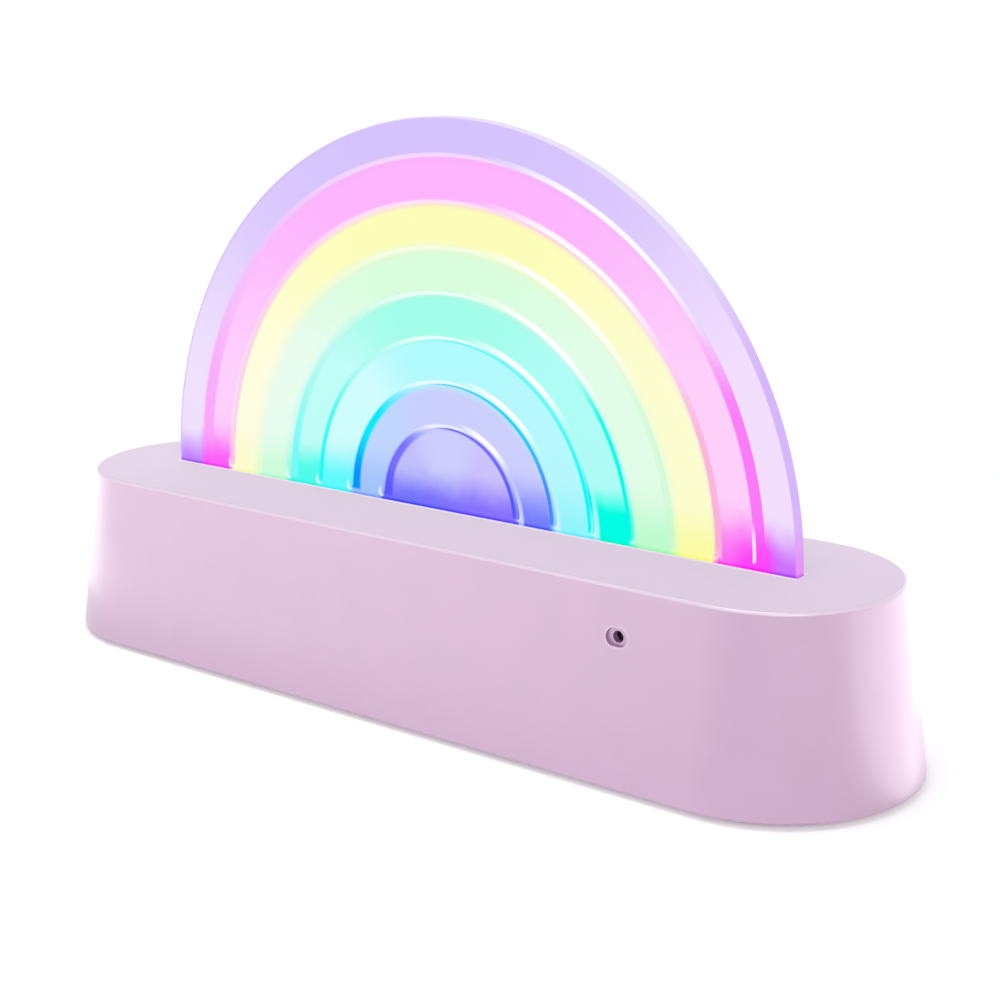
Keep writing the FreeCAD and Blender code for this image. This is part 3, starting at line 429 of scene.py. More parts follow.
front_radii = {*CORE_RADII, BEVEL_CLEAR}
for number in range(GROOVES):
    middle = FIRST_GROOVE + RING_STEP * number
    for offset in GROOVE_OFFSETS:
        front_radii.update((middle - offset, middle + offset))
front_radii = sorted(front_radii)
back_radii = [*BACK_RADII, BEVEL_CLEAR]

low_turns = [0.0, FIRST_TURN]
while low_turns[-1] < FINE_END:
    low_turns.append(low_turns[-1] + max(FINEST_TURN, TURN_GROWTH * low_turns[-1]))
spread = math.ceil((90 - low_turns[-1]) / WIDEST_TURN)
steep = [low_turns[-1] + (90 - low_turns[-1]) * step / spread for step in range(1, spread)]
quarter = low_turns + steep
both_sides = quarter + [90.0] + [180 - turn for turn in reversed(quarter)]
turns = [math.radians(turn) for turn in both_sides]
print("stations:", len(front_radii), "out by", len(turns), "round")

# %% [markdown]
# ## Building one face of the panel
#
# Both faces are made by one function: it lays the half disc, rolls the rim over in a small quarter
# round, and drops the tongue below. It hands back the outline, point by point, so that the edge can
# be closed later.

# %% Lay one face
points = []
faces = []


def add_point(across, depth, height):
    """Keeps one point, given in millimetres, and returns its number."""
    points.append((across * MM, depth * MM, height * MM))
    return len(points) - 1


def lay_face(radii, flat, inward, depth_at):
    """Lays the half disc and its tongue. Returns the outline from right to left, and the lower line."""
    profile = [(radius, 0.0) for radius in radii[1:]]
    for step in range(BEVEL_STEPS + 1):
        bend = math.pi / 2 * step / BEVEL_STEPS
        profile.append((RADIUS - BEVEL + BEVEL * math.sin(bend), BEVEL * (1 - math.cos(bend))))
    pole = add_point(0, flat, CENTRE_Z)
    spokes = []
    for turn in turns:
        spoke = []
        for radius, roll in profile:
            up = radius * math.sin(turn)
            sunk = roll + depth_at(radius, up - PANEL_SINK)
            spoke.append(add_point(radius * math.cos(turn), flat + inward * sunk, CENTRE_Z + up))
        spokes.append(spoke)
    for spoke, following in zip(spokes, spokes[1:]):
        faces.append((pole, spoke[0], following[0]))
        for inner in range(len(profile) - 1):
            faces.append((spoke[inner], spoke[inner + 1], following[inner + 1], following[inner]))
    middle_line = spokes[0][::-1] + [pole] + spokes[-1]
    lines = [middle_line]
    for height in (SHOULDER_Z, TONGUE_Z):
        lines.append([add_point(points[number][0] / MM, flat, height) for number in middle_line])
    for upper, lower in zip(lines, lines[1:]):
        for here in range(len(upper) - 1):
            faces.append((upper[here], upper[here + 1], lower[here + 1], lower[here]))
    corners = []
    for end, across in ((0, SHOULDER_X), (-1, -SHOULDER_X)):
        high, low = add_point(across, flat, SHOULDER_Z), add_point(across, flat, TONGUE_Z)
        faces.append((lines[1][end], high, low, lines[2][end]))
        corners.append((high, low))
    (right_high, right_low), (left_high, left_low) = corners
    rim = [spoke[-1] for spoke in spokes]
    outline = [right_low, right_high, lines[1][0]] + rim + [lines[1][-1], left_high, left_low]
    return outline, [right_low] + lines[2] + [left_low]


front_outline, front_lower = lay_face(front_radii, FRONT_Y, 1, groove_depth)
back_outline, back_lower = lay_face(back_radii, BACK_Y, -1, lambda radius, height: 0.0)
print("points on both faces:", len(points))

# %% [markdown]
# ## Closing the panel
#
# The two outlines have the same number of points, so the sawn edge is a strip of quads between
# them, and the lower end of the tongue is one flat face. A closed mesh has two faces at every edge,
# which is worth testing: an open one would leak light and make a poor print.

# %% Close the edge and make the mesh
WELD = 1e-7
SHARP_TURN = math.radians(50)

for here in range(len(front_outline) - 1):
    pair = front_outline[here], front_outline[here + 1]
    faces.append((*pair, back_outline[here + 1], back_outline[here]))
faces.append(tuple(front_lower + back_lower[::-1]))

sheet = bpy.data.meshes.new("rainbow_panel")
sheet.from_pydata(points, [], faces)
work = bmesh.new()
work.from_mesh(sheet)
bmesh.ops.remove_doubles(work, verts=work.verts, dist=WELD)
bmesh.ops.recalc_face_normals(work, faces=work.faces)
open_edges = [edge for edge in work.edges if len(edge.link_faces) != 2]
for face in work.faces:
    face.smooth = True
work.to_mesh(sheet)
work.free()
sheet.set_sharp_from_angle(angle=SHARP_TURN)
panel = bpy.data.objects.new("rainbow_panel", sheet)
scene.collection.objects.link(panel)
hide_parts("light_panel")
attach(panel, "base")
print("panel faces:", len(sheet.polygons), "open edges:", len(open_edges))

# %% [markdown]
# ## The colours of the light
#
# A coloured LED gives light of one hue, and the sheet thins it with white as it climbs. So each
# band is written as hues in degrees, for the crown of its arch and its right and left side, and as
# depths, from 0 for white to 1 for the pure hue. The light is deepest at the feet, thins out on the
# legs, and gathers again at the crown. The last two pairs say, in millimetres above the base, where
# the glow of the right and of the left foot begins to fade and where it has gone. The bands run
# from the core outwards.

# %% Hues and depths, from the core outwards
BAND_LIGHT = 0.993


def hued(hue, depth, strength=BAND_LIGHT):
    """Light of one hue in degrees, thinned with white to a depth."""
    colour = Color()
    colour.hsv = hue / 360, depth, strength
    return as_light(colour)


Band = namedtuple("Band", (
    "crown_hue right_hue left_hue crown right_leg left_leg right_foot left_foot right_fade left_fade"))
BANDS = {
    "core": Band(238, 250, 240, 0.19, 0.23, 0.24, 0.55, 0.55, (1.0, 10.5), (1.0, 9.5)),
    "periwinkle": Band(234, 236, 218, 0.2, 0.19, 0.24, 0.53, 0.36, (1.0, 13.0), (1.0, 14.0)),
    "cyan": Band(182, 184, 181, 0.3, 0.28, 0.18, 0.42, 0.62, (1.5, 12.0), (2.5, 13.5)),
    "aqua": Band(167, 174, 174, 0.36, 0.31, 0.24, 0.99, 0.68, (6.5, 12.0), (3.5, 11.5)),
    "green": Band(127, 135, 139, 0.14, 0.11, 0.08, 0.24, 0.19, (1.0, 15.0), (1.0, 13.0)),
    "yellow": Band(60, 61, 60, 0.27, 0.18, 0.12, 0.35, 0.19, (1.0, 13.0), (1.0, 12.0)),
    "pink": Band(300, 304, 301, 0.29, 0.18, 0.18, 0.57, 0.62, (1.0, 14.0), (1.0, 13.5)),
    "violet": Band(259, 280, 271, 0.23, 0.12, 0.11, 0.55, 0.48, (1.5, 11.5), (0.5, 9.0)),
}
print("bands:", list(BANDS))

# %% [markdown]
# ## Finding the place on the panel
#
# The pattern follows the arch, so the finish needs polar places: the distance from the centre, the
# turn round it, and the height above the base. They are worked out from the panel's own
# coordinates, so the pattern stays on the sheet wherever the camera stands. A coordinate runs
# across each groove as well: nought at its bottom, below nought towards the core. A little noise is
# added to the height, because the glow of a real foot has an uneven edge.

# %% Polar places in the panel's finish
MOTTLE_SIZE = 5.0
UNEVEN = 3.0


def own_place(tree):
    """The coordinates of the piece itself, and its three measures in millimetres."""
    spot = add_node(tree, "ShaderNodeTexCoord")
    apart = add_node(tree, "ShaderNodeSeparateXYZ")
    feed(tree, spot.outputs["Object"], apart.inputs[0])
    return spot, [figure(tree, "MULTIPLY", measure, 1 / MM) for measure in apart.outputs]


def slant(tree, first, second):
    """The straight distance that two distances at right angles make."""
    squares = figure(tree, "MULTIPLY_ADD", first, first, figure(tree, "MULTIPLY", second, second))
    return figure(tree, "SQRT", squares)


glow = bpy.data.materials.new("lit_acrylic")
glow.use_nodes = True
tree = glow.node_tree
spot, (across_mm, back_mm, tall_mm) = own_place(tree)
up_mm = figure(tree, "SUBTRACT", tall_mm, CENTRE_Z)
height_mm = figure(tree, "SUBTRACT", up_mm, PANEL_SINK)
radius_mm = slant(tree, across_mm, up_mm)
turn_deg = figure(tree, "DEGREES", figure(tree, "ARCTAN2", up_mm, across_mm))
ring = figure(tree, "DIVIDE", figure(tree, "SUBTRACT", radius_mm, FIRST_GROOVE), RING_STEP)
groove_mm = figure(tree, "MULTIPLY", figure(tree, "WRAP", ring, 0.5, -0.5), RING_STEP)

mottle = add_node(tree, "ShaderNodeTexNoise")
feed(tree, spot.outputs["Object"], mottle.inputs["Vector"])
mottle.inputs["Scale"].default_value = 1 / (MOTTLE_SIZE * MM)
mottle.inputs["Detail"].default_value = 3.0
lowered_mm = figure(tree, "SUBTRACT", height_mm, UNEVEN / 2)
uneven_mm = figure(tree, "MULTIPLY_ADD", mottle.outputs["Fac"], UNEVEN, lowered_mm)
print("places ready")

# %% [markdown]
# ## Bands of colour
#
# A Color Ramp over the distance from the centre gives the bands. Each groove has its own blend:
# crisp at the core, wide between yellow and green, where the two lights run into each other. Five
# such ramps hold the five sets of colours, and four more hold the heights of the glow. Soft turns
# then mix them, by the height above the base, by the side, and by how far up the arch the point
# lies.

# %% Ramps and their mixing
BLENDS = ((-0.2, 0.4), (-1.2, 0.6), (-0.5, 0.7), (-0.6, 1.8), (-0.9, 2.4), (-0.5, 1.2), (0.0, 1.6))
TALLEST_GLOW = 20.0
MIDDLE_BLEND = 14.0
PLACES = ("left_leg", "right_leg", "crown", "left_foot", "right_foot")


def band_ramp(tree, radius_mm, colours):
    """A ramp over the radius with one colour for each band."""
    node = add_node(tree, "ShaderNodeValToRGB")
    stops = [(0.0, colours[0])]
    for number, (inner, outer) in enumerate(BLENDS):
        middle = FIRST_GROOVE + RING_STEP * number
        stops.append((middle + inner, colours[number]))
        stops.append((middle + outer, colours[number + 1]))
    ramp = node.color_ramp.elements
    while len(ramp) < len(stops):
        ramp.new(1.0)
    for element, (radius, colour) in zip(ramp, stops):
        element.position = radius / RADIUS
        element.color = colour
    feed(tree, figure(tree, "DIVIDE", radius_mm, RADIUS), node.inputs[0])
    return node.outputs[0]


def band_colours(tree, radius_mm, place):
    """The ramp of the bands' colours at one place of the arch."""
    hue = place.split("_")[0] + "_hue"
    colours = [hued(getattr(band, hue), getattr(band, place)) for band in BANDS.values()]
    return band_ramp(tree, radius_mm, colours)


def glow_height(order):
    """The height where the glow of the nearer foot begins to fade (0) or has gone (1)."""
    sides = []
    for fade in ("left_fade", "right_fade"):
        shares = [getattr(band, fade)[order] / TALLEST_GLOW for band in BANDS.values()]
        sides.append(band_ramp(tree, radius_mm, [(share, share, share, 1.0) for share in shares]))
    return figure(tree, "MULTIPLY", mixed(tree, right_share, *sides), TALLEST_GLOW)


colour_at = {place: band_colours(tree, radius_mm, place) for place in PLACES}
right_share = ease(tree, across_mm, -MIDDLE_BLEND, MIDDLE_BLEND)
rise = figure(tree, "DIVIDE", up_mm, radius_mm)
left_start = ease(tree, radius_mm, 28.0, 80.0, 0.78, 0.25)
right_start = ease(tree, radius_mm, 40.0, 80.0, 0.8, 0.42)
crown_start = ease(tree, right_share, 0.0, 1.0, left_start, right_start)
crown_share = ease(tree, rise, crown_start, 1.0)
leg_colour = mixed(tree, right_share, colour_at["left_leg"], colour_at["right_leg"])
body_colour = mixed(tree, crown_share, leg_colour, colour_at["crown"])
foot_colour = mixed(tree, right_share, colour_at["left_foot"], colour_at["right_foot"])
foot_share = ease(tree, uneven_mm, glow_height(0), glow_height(1), 1.0, 0.0)
band_colour = mixed(tree, foot_share, body_colour, foot_colour)
print("ramps mixed")

# %% [markdown]
# ## Stripes along the grooves
#
# A groove in a lit sheet is where the light leaves it. Its inner wall shows the deep colour of the
# band beside it. On the right legs that is a thin line, which slides down the wall as the arch
# climbs. On the left legs the wall is seen through the clear sheet, so the line is wider and softer
# there. Each stripe has a hue and a depth for its foot and for higher up. It also says where it
# begins and ends across the groove, how far round the arch it reaches, and how strong it is. The
# fifth groove has none on the left. The last left stripe stands above the glow of the foot, and the
# third right one has a short twin beside it.

# %% Stripes of deep colour
Stripe = namedtuple("Stripe", "inner outer reach strength low high")
STRIPE_LIGHT = 0.985
RIGHT_STRIPES = (
    Stripe(-0.27, 0.27, 97.0, 1.0, (236, 0.68), (243, 0.56)),
    Stripe(-0.17, 0.37, 97.0, 1.0, (219, 0.7), (189, 0.89)),
    Stripe(-0.17, 0.37, 95.0, 1.0, (179, 0.97), (181, 0.57)),
    Stripe(-0.17, 0.42, 41.0, 1.0, (176, 0.97), (173, 0.8)),
    Stripe(-0.2, 0.9, 35.0, 0.6, (134, 0.2), (131, 0.17)),
    Stripe(0.65, 2.8, 29.0, 0.9, (329, 0.29), (337, 0.18)),
    Stripe(0.0, 2.7, 32.0, 1.0, (301, 0.51), (299, 0.37)),
)
LEFT_STRIPES = (
    Stripe(-1.6, 0.55, 118.0, 1.0, (241, 0.65), (243, 0.54)),
    Stripe(-1.6, 0.55, 118.0, 1.0, (204, 1.0), (184, 0.96)),
    Stripe(0.3, 1.0, 136.0, 0.95, (179, 0.9), (175, 0.68)),
    Stripe(-1.4, 0.6, 140.0, 0.9, (180, 0.53), (170, 0.35)),
    None,
    Stripe(0.2, 0.85, 104.0, 0.6, (312, 0.21), (315, 0.18)),
    Stripe(-1.8, 1.1, 146.0, 0.8, (300, 0.37), (293, 0.29)),
)
THIN_ON_LEFT = (2, 5)
THIN_SOFT, WIDE_SOFT = 0.15, 0.4
RIGHT_SOFT, LEFT_SOFT = 0.12, 0.2
RIGHT_RUN_OUT, LEFT_RUN_OUT = 8, 17
RIGHT_SLIDE, RIGHT_SLIDE_START = 0.0108, -0.86
LEFT_SLIDE, WIDE_SLIDE, LEFT_SLIDE_TURN = 0.011, 0.037, 135.0
TWIN_ACROSS, TWIN_HEIGHT = (0.35, 0.12, 1.5, 0.25), (5.0, 2.0, 13.0, 5.0)


def between(tree, value, low, low_soft, high, high_soft):
    """One between low and high, each of which has a softness of its own."""
    opens = ease(tree, value, low - low_soft, low + low_soft)
    closes = ease(tree, value, high - high_soft, high + high_soft, 1.0, 0.0)
    return figure(tree, "MULTIPLY", opens, closes)


def product(tree, *shares):
    """Several shares multiplied."""
    total = shares[0]
    for share in shares[1:]:
        total = figure(tree, "MULTIPLY", total, share)
    return total


def stripe_colour(stripe, high_share):
    """The deep colour of a stripe, from its foot to higher up."""
    low, high = (hued(hue, depth, STRIPE_LIGHT) for hue, depth in (stripe.low, stripe.high))
    return mixed(tree, high_share, low, high)


above_end = ease(tree, height_mm, GROOVE_LIFT, GROOVE_LIFT + 0.8)
clear_of_glow = ease(tree, height_mm, 3.0, 9.0)
high_right = ease(tree, rise, 0.25, 0.85)
high_left = ease(tree, rise, 0.2, 0.6)
slide = figure(tree, "MULTIPLY_ADD", turn_deg, RIGHT_SLIDE, RIGHT_SLIDE_START)
slid_right = figure(tree, "SUBTRACT", radius_mm, slide)
past = figure(tree, "SUBTRACT", turn_deg, LEFT_SLIDE_TURN)
slid_left = figure(tree, "MULTIPLY_ADD", past, LEFT_SLIDE, radius_mm)
slid_wide = figure(tree, "MULTIPLY_ADD", past, WIDE_SLIDE, radius_mm)
lined = band_colour
for number, (right, left) in enumerate(zip(RIGHT_STRIPES, LEFT_STRIPES)):
    middle = FIRST_GROOVE + RING_STEP * number
    start, end = middle + right.inner, middle + right.outer
    on_right = product(
        tree, between(tree, slid_right, start, RIGHT_SOFT, end, RIGHT_SOFT),
        ease(tree, turn_deg, right.reach - RIGHT_RUN_OUT, right.reach + RIGHT_RUN_OUT,
             right.strength, 0.0),
        above_end)
    lined = mixed(tree, on_right, lined, stripe_colour(right, high_right))
    if left is None:
        continue
    start, end = middle + left.inner, middle + left.outer
    thin = number in THIN_ON_LEFT
    inner_slide, inner_soft = (slid_left, THIN_SOFT) if thin else (slid_wide, WIDE_SOFT)
    left_foot = clear_of_glow if number == GROOVES - 1 else above_end
    on_left = product(
        tree, ease(tree, inner_slide, start - inner_soft, start + inner_soft),
        ease(tree, slid_left, end - LEFT_SOFT, end + LEFT_SOFT, 1.0, 0.0),
        ease(tree, turn_deg, left.reach - LEFT_RUN_OUT, left.reach + LEFT_RUN_OUT, 0.0, left.strength),
        left_foot)
    lined = mixed(tree, on_left, lined, stripe_colour(left, high_left))
third_mm = figure(tree, "SUBTRACT", slid_right, FIRST_GROOVE + RING_STEP * 2)
twin_share = product(
    tree, between(tree, third_mm, *TWIN_ACROSS), between(tree, height_mm, *TWIN_HEIGHT), right_share)
lined = mixed(tree, twin_share, lined, paint(20, 242, 246))
print("stripes on the right:", len(RIGHT_STRIPES))

# %% [markdown]
# ## White light along the grooves
#
# The outer shoulder of each groove sends out nearly white light over part of the arch: broad on the
# right, between one and three o'clock, and narrower over the crown. Where the cutter lifted out,
# just above the base, the round end of the groove catches the light as a small white hook, and the
# inner right feet have a pale wedge above it. The fifth groove and the last have no hook. A fade is
# given by where it begins and ends, and by the strength at both.

# %% White shoulders and hooks
WHITE = (1.0, 1.0, 1.0, 1.0)
SHARP = 0.01
BROAD_ACROSS, BROAD_ROUND, BROAD_STRENGTH = (1.0, 0.14, 2.3, 0.3), (42.0, 9.0, 74.0, 11.0), 0.95
NARROW_ACROSS, NARROW_OPENS, NARROW_CLOSES = (0.35, 0.15, 1.2, 0.2), (68.0, 82.0), 100.0
MIDDLE_BANDS = (44.0, 66.0)
HOOK_WALL, HOOK_FADE = (0.75, 0.15, 1.15, 0.15), (1.6, 3.2, 1.0, 0.0)
WEDGE_ACROSS, WEDGE_FADE = (0.5, 0.15, 1.9, 0.4), (1.0, 14.0, 0.75, 0.0)

on_grooves = between(tree, ring, -0.5, SHARP, GROOVES - 0.5, SHARP)
shoulder_mm = figure(tree, "ADD", groove_mm, ease(tree, radius_mm, 66.0, 74.0, 0.0, 0.4))
broad = product(
    tree, between(tree, shoulder_mm, *BROAD_ACROSS), between(tree, turn_deg, *BROAD_ROUND),
    BROAD_STRENGTH)
crown_strength = ease(tree, radius_mm, *MIDDLE_BANDS, 0.7, 0.4)
crown_stop = ease(tree, radius_mm, *MIDDLE_BANDS, 123.0, 142.0)
narrow = product(
    tree, between(tree, groove_mm, *NARROW_ACROSS), ease(tree, turn_deg, *NARROW_OPENS),
    ease(tree, turn_deg, NARROW_CLOSES, crown_stop, 1.0, 0.0), crown_strength)
white_share = product(tree, figure(tree, "MAXIMUM", broad, narrow), on_grooves)
whitened = mixed(tree, white_share, lined, WHITE)

under_mm = figure(tree, "SUBTRACT", GROOVE_LIFT + GROOVE_HALF, height_mm)
from_end = slant(tree, groove_mm, figure(tree, "MAXIMUM", under_mm, 0.0))
hook_strength = ease(tree, across_mm, -10.0, 10.0, 0.8, 0.4)
fifth = between(tree, ring, 3.5, SHARP, 4.5, SHARP)
no_hook = figure(tree, "MAXIMUM", fifth, ease(tree, ring, 5.5 - SHARP, 5.5 + SHARP))
hook_share = product(
    tree, between(tree, from_end, *HOOK_WALL), ease(tree, groove_mm, -0.5, 0.1),
    ease(tree, height_mm, *HOOK_FADE), hook_strength, on_grooves,
    figure(tree, "SUBTRACT", 1.0, no_hook))
wedge_share = product(
    tree, between(tree, groove_mm, *WEDGE_ACROSS), ease(tree, height_mm, *WEDGE_FADE), right_share,
    on_grooves, ease(tree, ring, 2.45, 2.55, 1.0, 0.0))
wedged = mixed(tree, wedge_share, whitened, paint(214, 238, 254))
hooked = mixed(tree, hook_share, wedged, WHITE)
print("white light ready")

# %% [markdown]
# ## The outer foot and the rim
#
# At the right foot the pink LED spills into the violet band, and a white line stands in the last
# groove. The sawn rim of the sheet is deeper violet on the legs and pale at the crown, since it is
# seen along the sheet. Right at the base every colour deepens, which multiplying it by itself does
# well.

# %% Spill, white line and rim
LAST_GROOVE = FIRST_GROOVE + RING_STEP * (GROOVES - 1)
SPILL_ACROSS, SPILL_FADE = (LAST_GROOVE - 4.5, 2.5, LAST_GROOVE + 3.6, 1.8), (1.0, 12.0, 0.9, 0.0)
NEEDLE_ACROSS, NEEDLE_HEIGHT = (LAST_GROOVE - 0.95, 0.08, LAST_GROOVE - 0.5, 0.08), (1.4, 0.3, 7.5, 2.5)
EDGE_FADE = (-45.0, -10.0, 0.7, 0.0)
CONTACT_FADE = (0.1, 0.9, 0.8, 0.0)

right_side = ease(tree, across_mm, 50.0, 60.0)
spill_share = product(
    tree, between(tree, radius_mm, *SPILL_ACROSS), ease(tree, uneven_mm, *SPILL_FADE), right_side)
spilled = mixed(tree, spill_share, hooked, paint(254, 62, 250))
needle_share = product(
    tree, between(tree, radius_mm, *NEEDLE_ACROSS), between(tree, height_mm, *NEEDLE_HEIGHT), right_side)
needled = mixed(tree, needle_share, spilled, paint(255, 236, 254))
left_edge = product(
    tree, ease(tree, radius_mm, RADIUS - 1.0, RADIUS - 0.4), ease(tree, across_mm, *EDGE_FADE))
edged = mixed(tree, left_edge, needled, paint(208, 190, 246))
rim_share = ease(tree, radius_mm, RADIUS - 0.4, RADIUS - 0.1)
rim_front = mixed(tree, ease(tree, rise, 0.4, 0.85), paint(214, 182, 250), paint(234, 227, 249))
rim_body = mixed(tree, ease(tree, back_mm, 0.8, 1.5, 0.0, 0.7), rim_front, paint(212, 198, 232))
rim_colour = mixed(tree, foot_share, rim_body, paint(232, 152, 250))
rimmed = mixed(tree, rim_share, edged, rim_colour)
contact_share = ease(tree, height_mm, *CONTACT_FADE)
panel_colour = mixed(tree, contact_share, rimmed, rimmed, "MULTIPLY")
print("rim and foot ready")

# %% [markdown]
# ## Lit acrylic
#
# The same colours feed the surface twice: weakly as paint, so that the studio still models the
# grooves, and strongly as light, since the lamp is on. Glass with lights inside would be truer
# still, but it needs long renders and loses its glow in other programs. The studio's light drowns
# the lamp's own light on the base, so the panel is hidden from the rays that would carry it there.

# %% Light and surface of the panel
PAINT_SHARE = 0.1
PANEL_GLOW = 0.915
acrylic = tree.nodes["Principled BSDF"]
dim = mixed(tree, 1.0, panel_colour, (PAINT_SHARE, PAINT_SHARE, PAINT_SHARE, 1.0), "MULTIPLY")
feed(tree, dim, acrylic.inputs["Base Color"])
feed(tree, panel_colour, acrylic.inputs["Emission Color"])
acrylic.inputs["Emission Strength"].default_value = PANEL_GLOW
acrylic.inputs["Roughness"].default_value = 0.5
acrylic.inputs["Specular IOR Level"].default_value = 0.0
acrylic.inputs["IOR"].default_value = 1.49
sheet.materials.append(glow)
panel.visible_diffuse = False
panel.visible_glossy = False
print("panel nodes:", len(tree.nodes))

# %% [markdown]
# ## The lip of the slot, the sound hole and the top edge
#
# Where the panel leaves the base, the lip of the slot catches its light, which is painted on as a
# fine pale line, a painted highlight. The sound hole lies in a shallow dimple. Its walls lie in
# shade, and the hole itself is darker still, so their colours are painted deeper as painted shade,
# and a thin painted highlight rings the dimple. All of these are laid over the lilac by their places
# on the moulding. The depth is measured inwards from the leaning front wall, and the floor of the
# dimple stands upright. The rounded top edge is found by its normal, which points neither up nor
# sideways there, and a painted highlight makes it paler, over the bright line that the overhead
# softbox draws along it.

# %% Painted highlights on lip, dimple rim and edge, painted shade in the dimple
HOLE_X, HOLE_Z = 60.9, 30.1
DIMPLE_HALF, DIMPLE_RADIUS, DIMPLE_DEEP = 0.65, 1.75, 0.7
WALL_START, WALL_FOOT, WALL_LEAN = 1.0, 30.4, 5.4 / 38.8
DIMPLE_FLOOR = DIMPLE_DEEP - WALL_FOOT + WALL_LEAN * (HOLE_Z - WALL_START)
BORE_END = -19.0
LIP_FADE = (2.1, 3.0, 0.8, 0.0)
ROUND_EDGE = (0.3, 0.12, 0.97, 0.02)

tree = finishes["shell_plastic"].node_tree
shader = tree.nodes["Principled BSDF"]
lilac = shader.inputs["Base Color"].links[0].from_socket
spot, (along, inward, tall) = own_place(tree)
# Painted highlight: a fine pale line on the lip of the slot, where the panel's light would fall.
lip_highlight_share = product(
    tree, ease(tree, figure(tree, "ABSOLUTE", inward), *LIP_FADE),
    ease(tree, figure(tree, "ABSOLUTE", along), RADIUS, RADIUS + 0.6, 1.0, 0.0),
    ease(tree, tall, BASE_TOP - 0.4, BASE_TOP - 0.1))
lip_highlighted = mixed(tree, lip_highlight_share, lilac, paint(250, 226, 246))

aside = figure(tree, "ABSOLUTE", figure(tree, "SUBTRACT", along, HOLE_X))
beyond = figure(tree, "MAXIMUM", figure(tree, "SUBTRACT", aside, DIMPLE_HALF), 0.0)
from_line = slant(tree, beyond, figure(tree, "SUBTRACT", tall, HOLE_Z))
wall_y = figure(tree, "MULTIPLY_ADD", tall, -WALL_LEAN, WALL_FOOT + WALL_LEAN * WALL_START)
sunk_mm = figure(tree, "ADD", inward, wall_y)
near_hole = ease(tree, from_line, DIMPLE_RADIUS + 0.1, DIMPLE_RADIUS + 0.2, 1.0, 0.0)
# Painted shade: the walls of the dimple and the bore of the hole are painted darker.
wall_shade_share = product(
    tree, near_hole, ease(tree, from_line, DIMPLE_RADIUS - 0.2, DIMPLE_RADIUS - 0.05),
    ease(tree, sunk_mm, 0.04, 0.12), ease(tree, inward, BORE_END, BORE_END + 1.0, 0.9, 0.0))
walled = mixed(tree, wall_shade_share, lip_highlighted, paint(150, 96, 148))
bore_shade_share = product(tree, near_hole, between(tree, inward, DIMPLE_FLOOR + 0.06, 0.04, BORE_END, 0.5))
bored = mixed(tree, bore_shade_share, walled, paint(128, 52, 124))
# Painted highlight: a thin white ring round the rim of the dimple.
rim_highlight_share = product(
    tree, between(tree, from_line, DIMPLE_RADIUS + 0.1, 0.1, DIMPLE_RADIUS + 0.35, 0.25),
    ease(tree, figure(tree, "ABSOLUTE", sunk_mm), 0.05, 0.1, 0.22, 0.0))
highlight_ringed = mixed(tree, rim_highlight_share, bored, WHITE)

# Painted highlight: the rounded top edge, found by its normal, is painted paler.
facing = add_node(tree, "ShaderNodeSeparateXYZ")
feed(tree, spot.outputs["Normal"], facing.inputs[0])
edge_highlight_share = product(
    tree, between(tree, facing.outputs["Z"], *ROUND_EDGE),
    ease(tree, tall, BASE_TOP - 1.2, BASE_TOP - 0.7, 0.0, 0.7))
feed(tree, mixed(tree, edge_highlight_share, highlight_ringed, paint(246, 228, 244)), shader.inputs["Base Color"])
print("shell nodes:", len(tree.nodes))

# %% [markdown]
# ## Small pieces inside and below
#
# A lamp that is taken apart shows many small finishes: white tray plastic that throws light
# upwards, black moulded chips, creamy sockets, drawn and plated steel, rubber, card and sheathed
# leads. They differ in colour, in gloss, in the size of the grain and in its direction.

# %% Plastics, rubber and card
finishes["white_plastic"] = grained_finish(
    "tray_white", paint(240, 240, 238), gloss=0.65, grain=0.4, relief=0.01)
finishes["chip_black"] = grained_finish(
    "chip_epoxy", paint(38, 38, 40), gloss=0.55, grain=0.12, relief=0.006, drift=0.15)
finishes["switch_plastic"] = grained_finish(
    "switch_cream", paint(232, 230, 222), gloss=0.5, grain=0.15, relief=0.003)
finishes["header_plastic"] = grained_finish(
    "socket_nylon", paint(236, 230, 214), gloss=0.45, grain=0.2, relief=0.004)
finishes["insulator"] = grained_finish(
    "insulator_card", paint(232, 230, 220), gloss=0.85, grain=0.1, relief=0.012, stretch=(1, 3, 1))
finishes["grey_rubber"] = grained_finish(
    "soft_rubber", paint(74, 68, 76), gloss=0.8, grain=0.18, relief=0.015, drift=0.1)
finishes["lead_sheath"] = grained_finish(
    "lead_sheath", paint(52, 52, 56), gloss=0.4, grain=0.3, relief=0.004, drift=0.1)
print("finishes so far:", len(finishes))

# %% [markdown]
# ## Metals
#
# Drawn and turned metal has fine lines along the way it was worked, so the grain is stretched
# there. The metals are fully metallic, and their gloss carries the lines.

# %% Steel and aluminium
finishes["inlet_steel"] = grained_finish(
    "drawn_steel", paint(200, 200, 204), gloss=0.28, grain=0.08, relief=0.002, stretch=(1, 0.1, 1),
    Metallic=1.0)
finishes["screw_steel"] = grained_finish(
    "zinc_steel", paint(194, 196, 200), gloss=0.32, grain=0.1, relief=0.003, drift=0.1, Metallic=1.0)
finishes["mic_can"] = grained_finish(
    "capsule_aluminium", paint(214, 214, 218), gloss=0.25, grain=0.06, relief=0.001, stretch=(1, 0.1, 1),
    Metallic=1.0)
finishes["cell_sleeve"] = grained_finish(
    "shrink_sleeve", paint(60, 132, 168), gloss=0.3, grain=0.6, relief=0.02, stretch=(0.2, 1, 1),
    drift=0.08)
print("finishes so far:", len(finishes))

# %% [markdown]
# ## Circuit board
#
# A bare green would look like card. Solder mask lies over copper, and the copper shows through as
# paler lines, so a brick pattern with thin joints stands for the runs of copper. The joints are
# 0.3 mm wide and a few millimetres apart, as on a simple board.

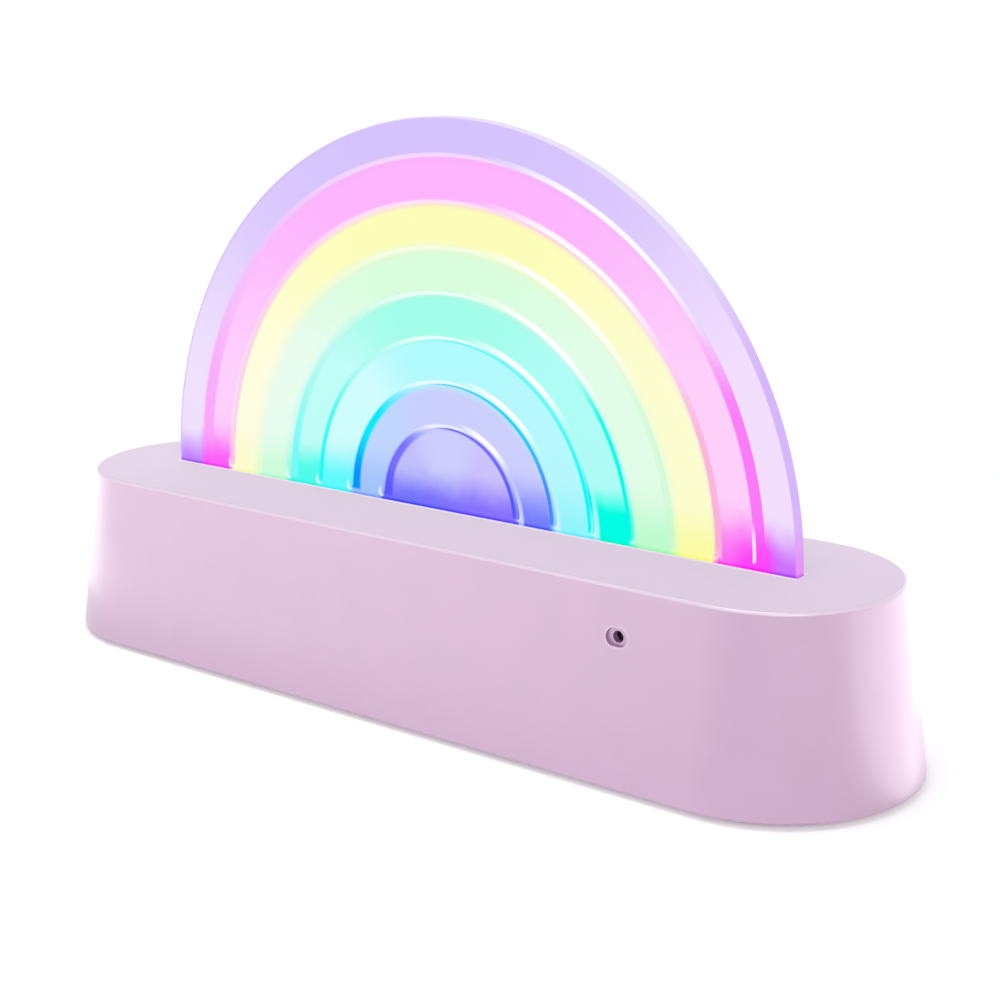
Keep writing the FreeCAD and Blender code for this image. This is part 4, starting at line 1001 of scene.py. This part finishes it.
# %% Solder mask over copper
finishes["circuit_board"] = grained_finish(
    "solder_mask", paint(30, 104, 62), gloss=0.35, grain=0.3, relief=0.004, drift=0.12)
tree = finishes["circuit_board"].node_tree
shader = tree.nodes["Principled BSDF"]
mask_colour = shader.inputs["Base Color"].links[0].from_socket
spot = add_node(tree, "ShaderNodeTexCoord")
runs = add_node(tree, "ShaderNodeTexBrick", offset=0.37)
feed(tree, spot.outputs["Object"], runs.inputs["Vector"])
runs.inputs["Scale"].default_value = 1 / MM
runs.inputs["Mortar Size"].default_value = 0.15
runs.inputs["Mortar Smooth"].default_value = 0.1
runs.inputs["Brick Width"].default_value = 7.0
runs.inputs["Row Height"].default_value = 2.2
copper_share = figure(tree, "MULTIPLY", runs.outputs["Fac"], 0.8)
feed(tree, mixed(tree, copper_share, mask_colour, paint(74, 150, 92)), shader.inputs["Base Color"])
print("board nodes:", len(tree.nodes))

# %% [markdown]
# ## LEDs
#
# Each LED is a white package whose lens burns in the colour of the band above it. All of them share
# one finish, which looks up the colour by the distance from the middle of the row.

# %% LED packages
LED_GLOW = 0.6
finishes["led_package"] = grained_finish(
    "led_white", paint(244, 244, 240), gloss=0.4, grain=0.15, relief=0.002)
led_tree = finishes["led_package"].node_tree
led_shader = led_tree.nodes["Principled BSDF"]
led_measures = own_place(led_tree)[1]
from_middle = figure(led_tree, "ABSOLUTE", led_measures[0])
feed(led_tree, band_colours(led_tree, from_middle, "right_foot"), led_shader.inputs["Emission Color"])
led_shader.inputs["Emission Strength"].default_value = LED_GLOW
finishes["led_package"].cycles.emission_sampling = "NONE"
print("finishes:", len(finishes))

# %% [markdown]
# ## Dressing the measured parts
#
# Every measured part belongs to a material slot in the lamp's record. The finish of that slot goes
# onto the part, and the part itself stays as it is. The measured panel is hidden, because the finer
# one stands in its place. A slot without a finish would stop the script here.

# %% Put the finishes on
dressed = 0
for subpart in frame["record"]["subparts"]:
    part = frame["nodes"][subpart["node"]]
    if part.hide_render:
        continue
    part.data.materials.clear()
    part.data.materials.append(finishes[subpart["material_slot"]])
    dressed += 1
print("dressed parts:", dressed, "of", len(frame["nodes"]))
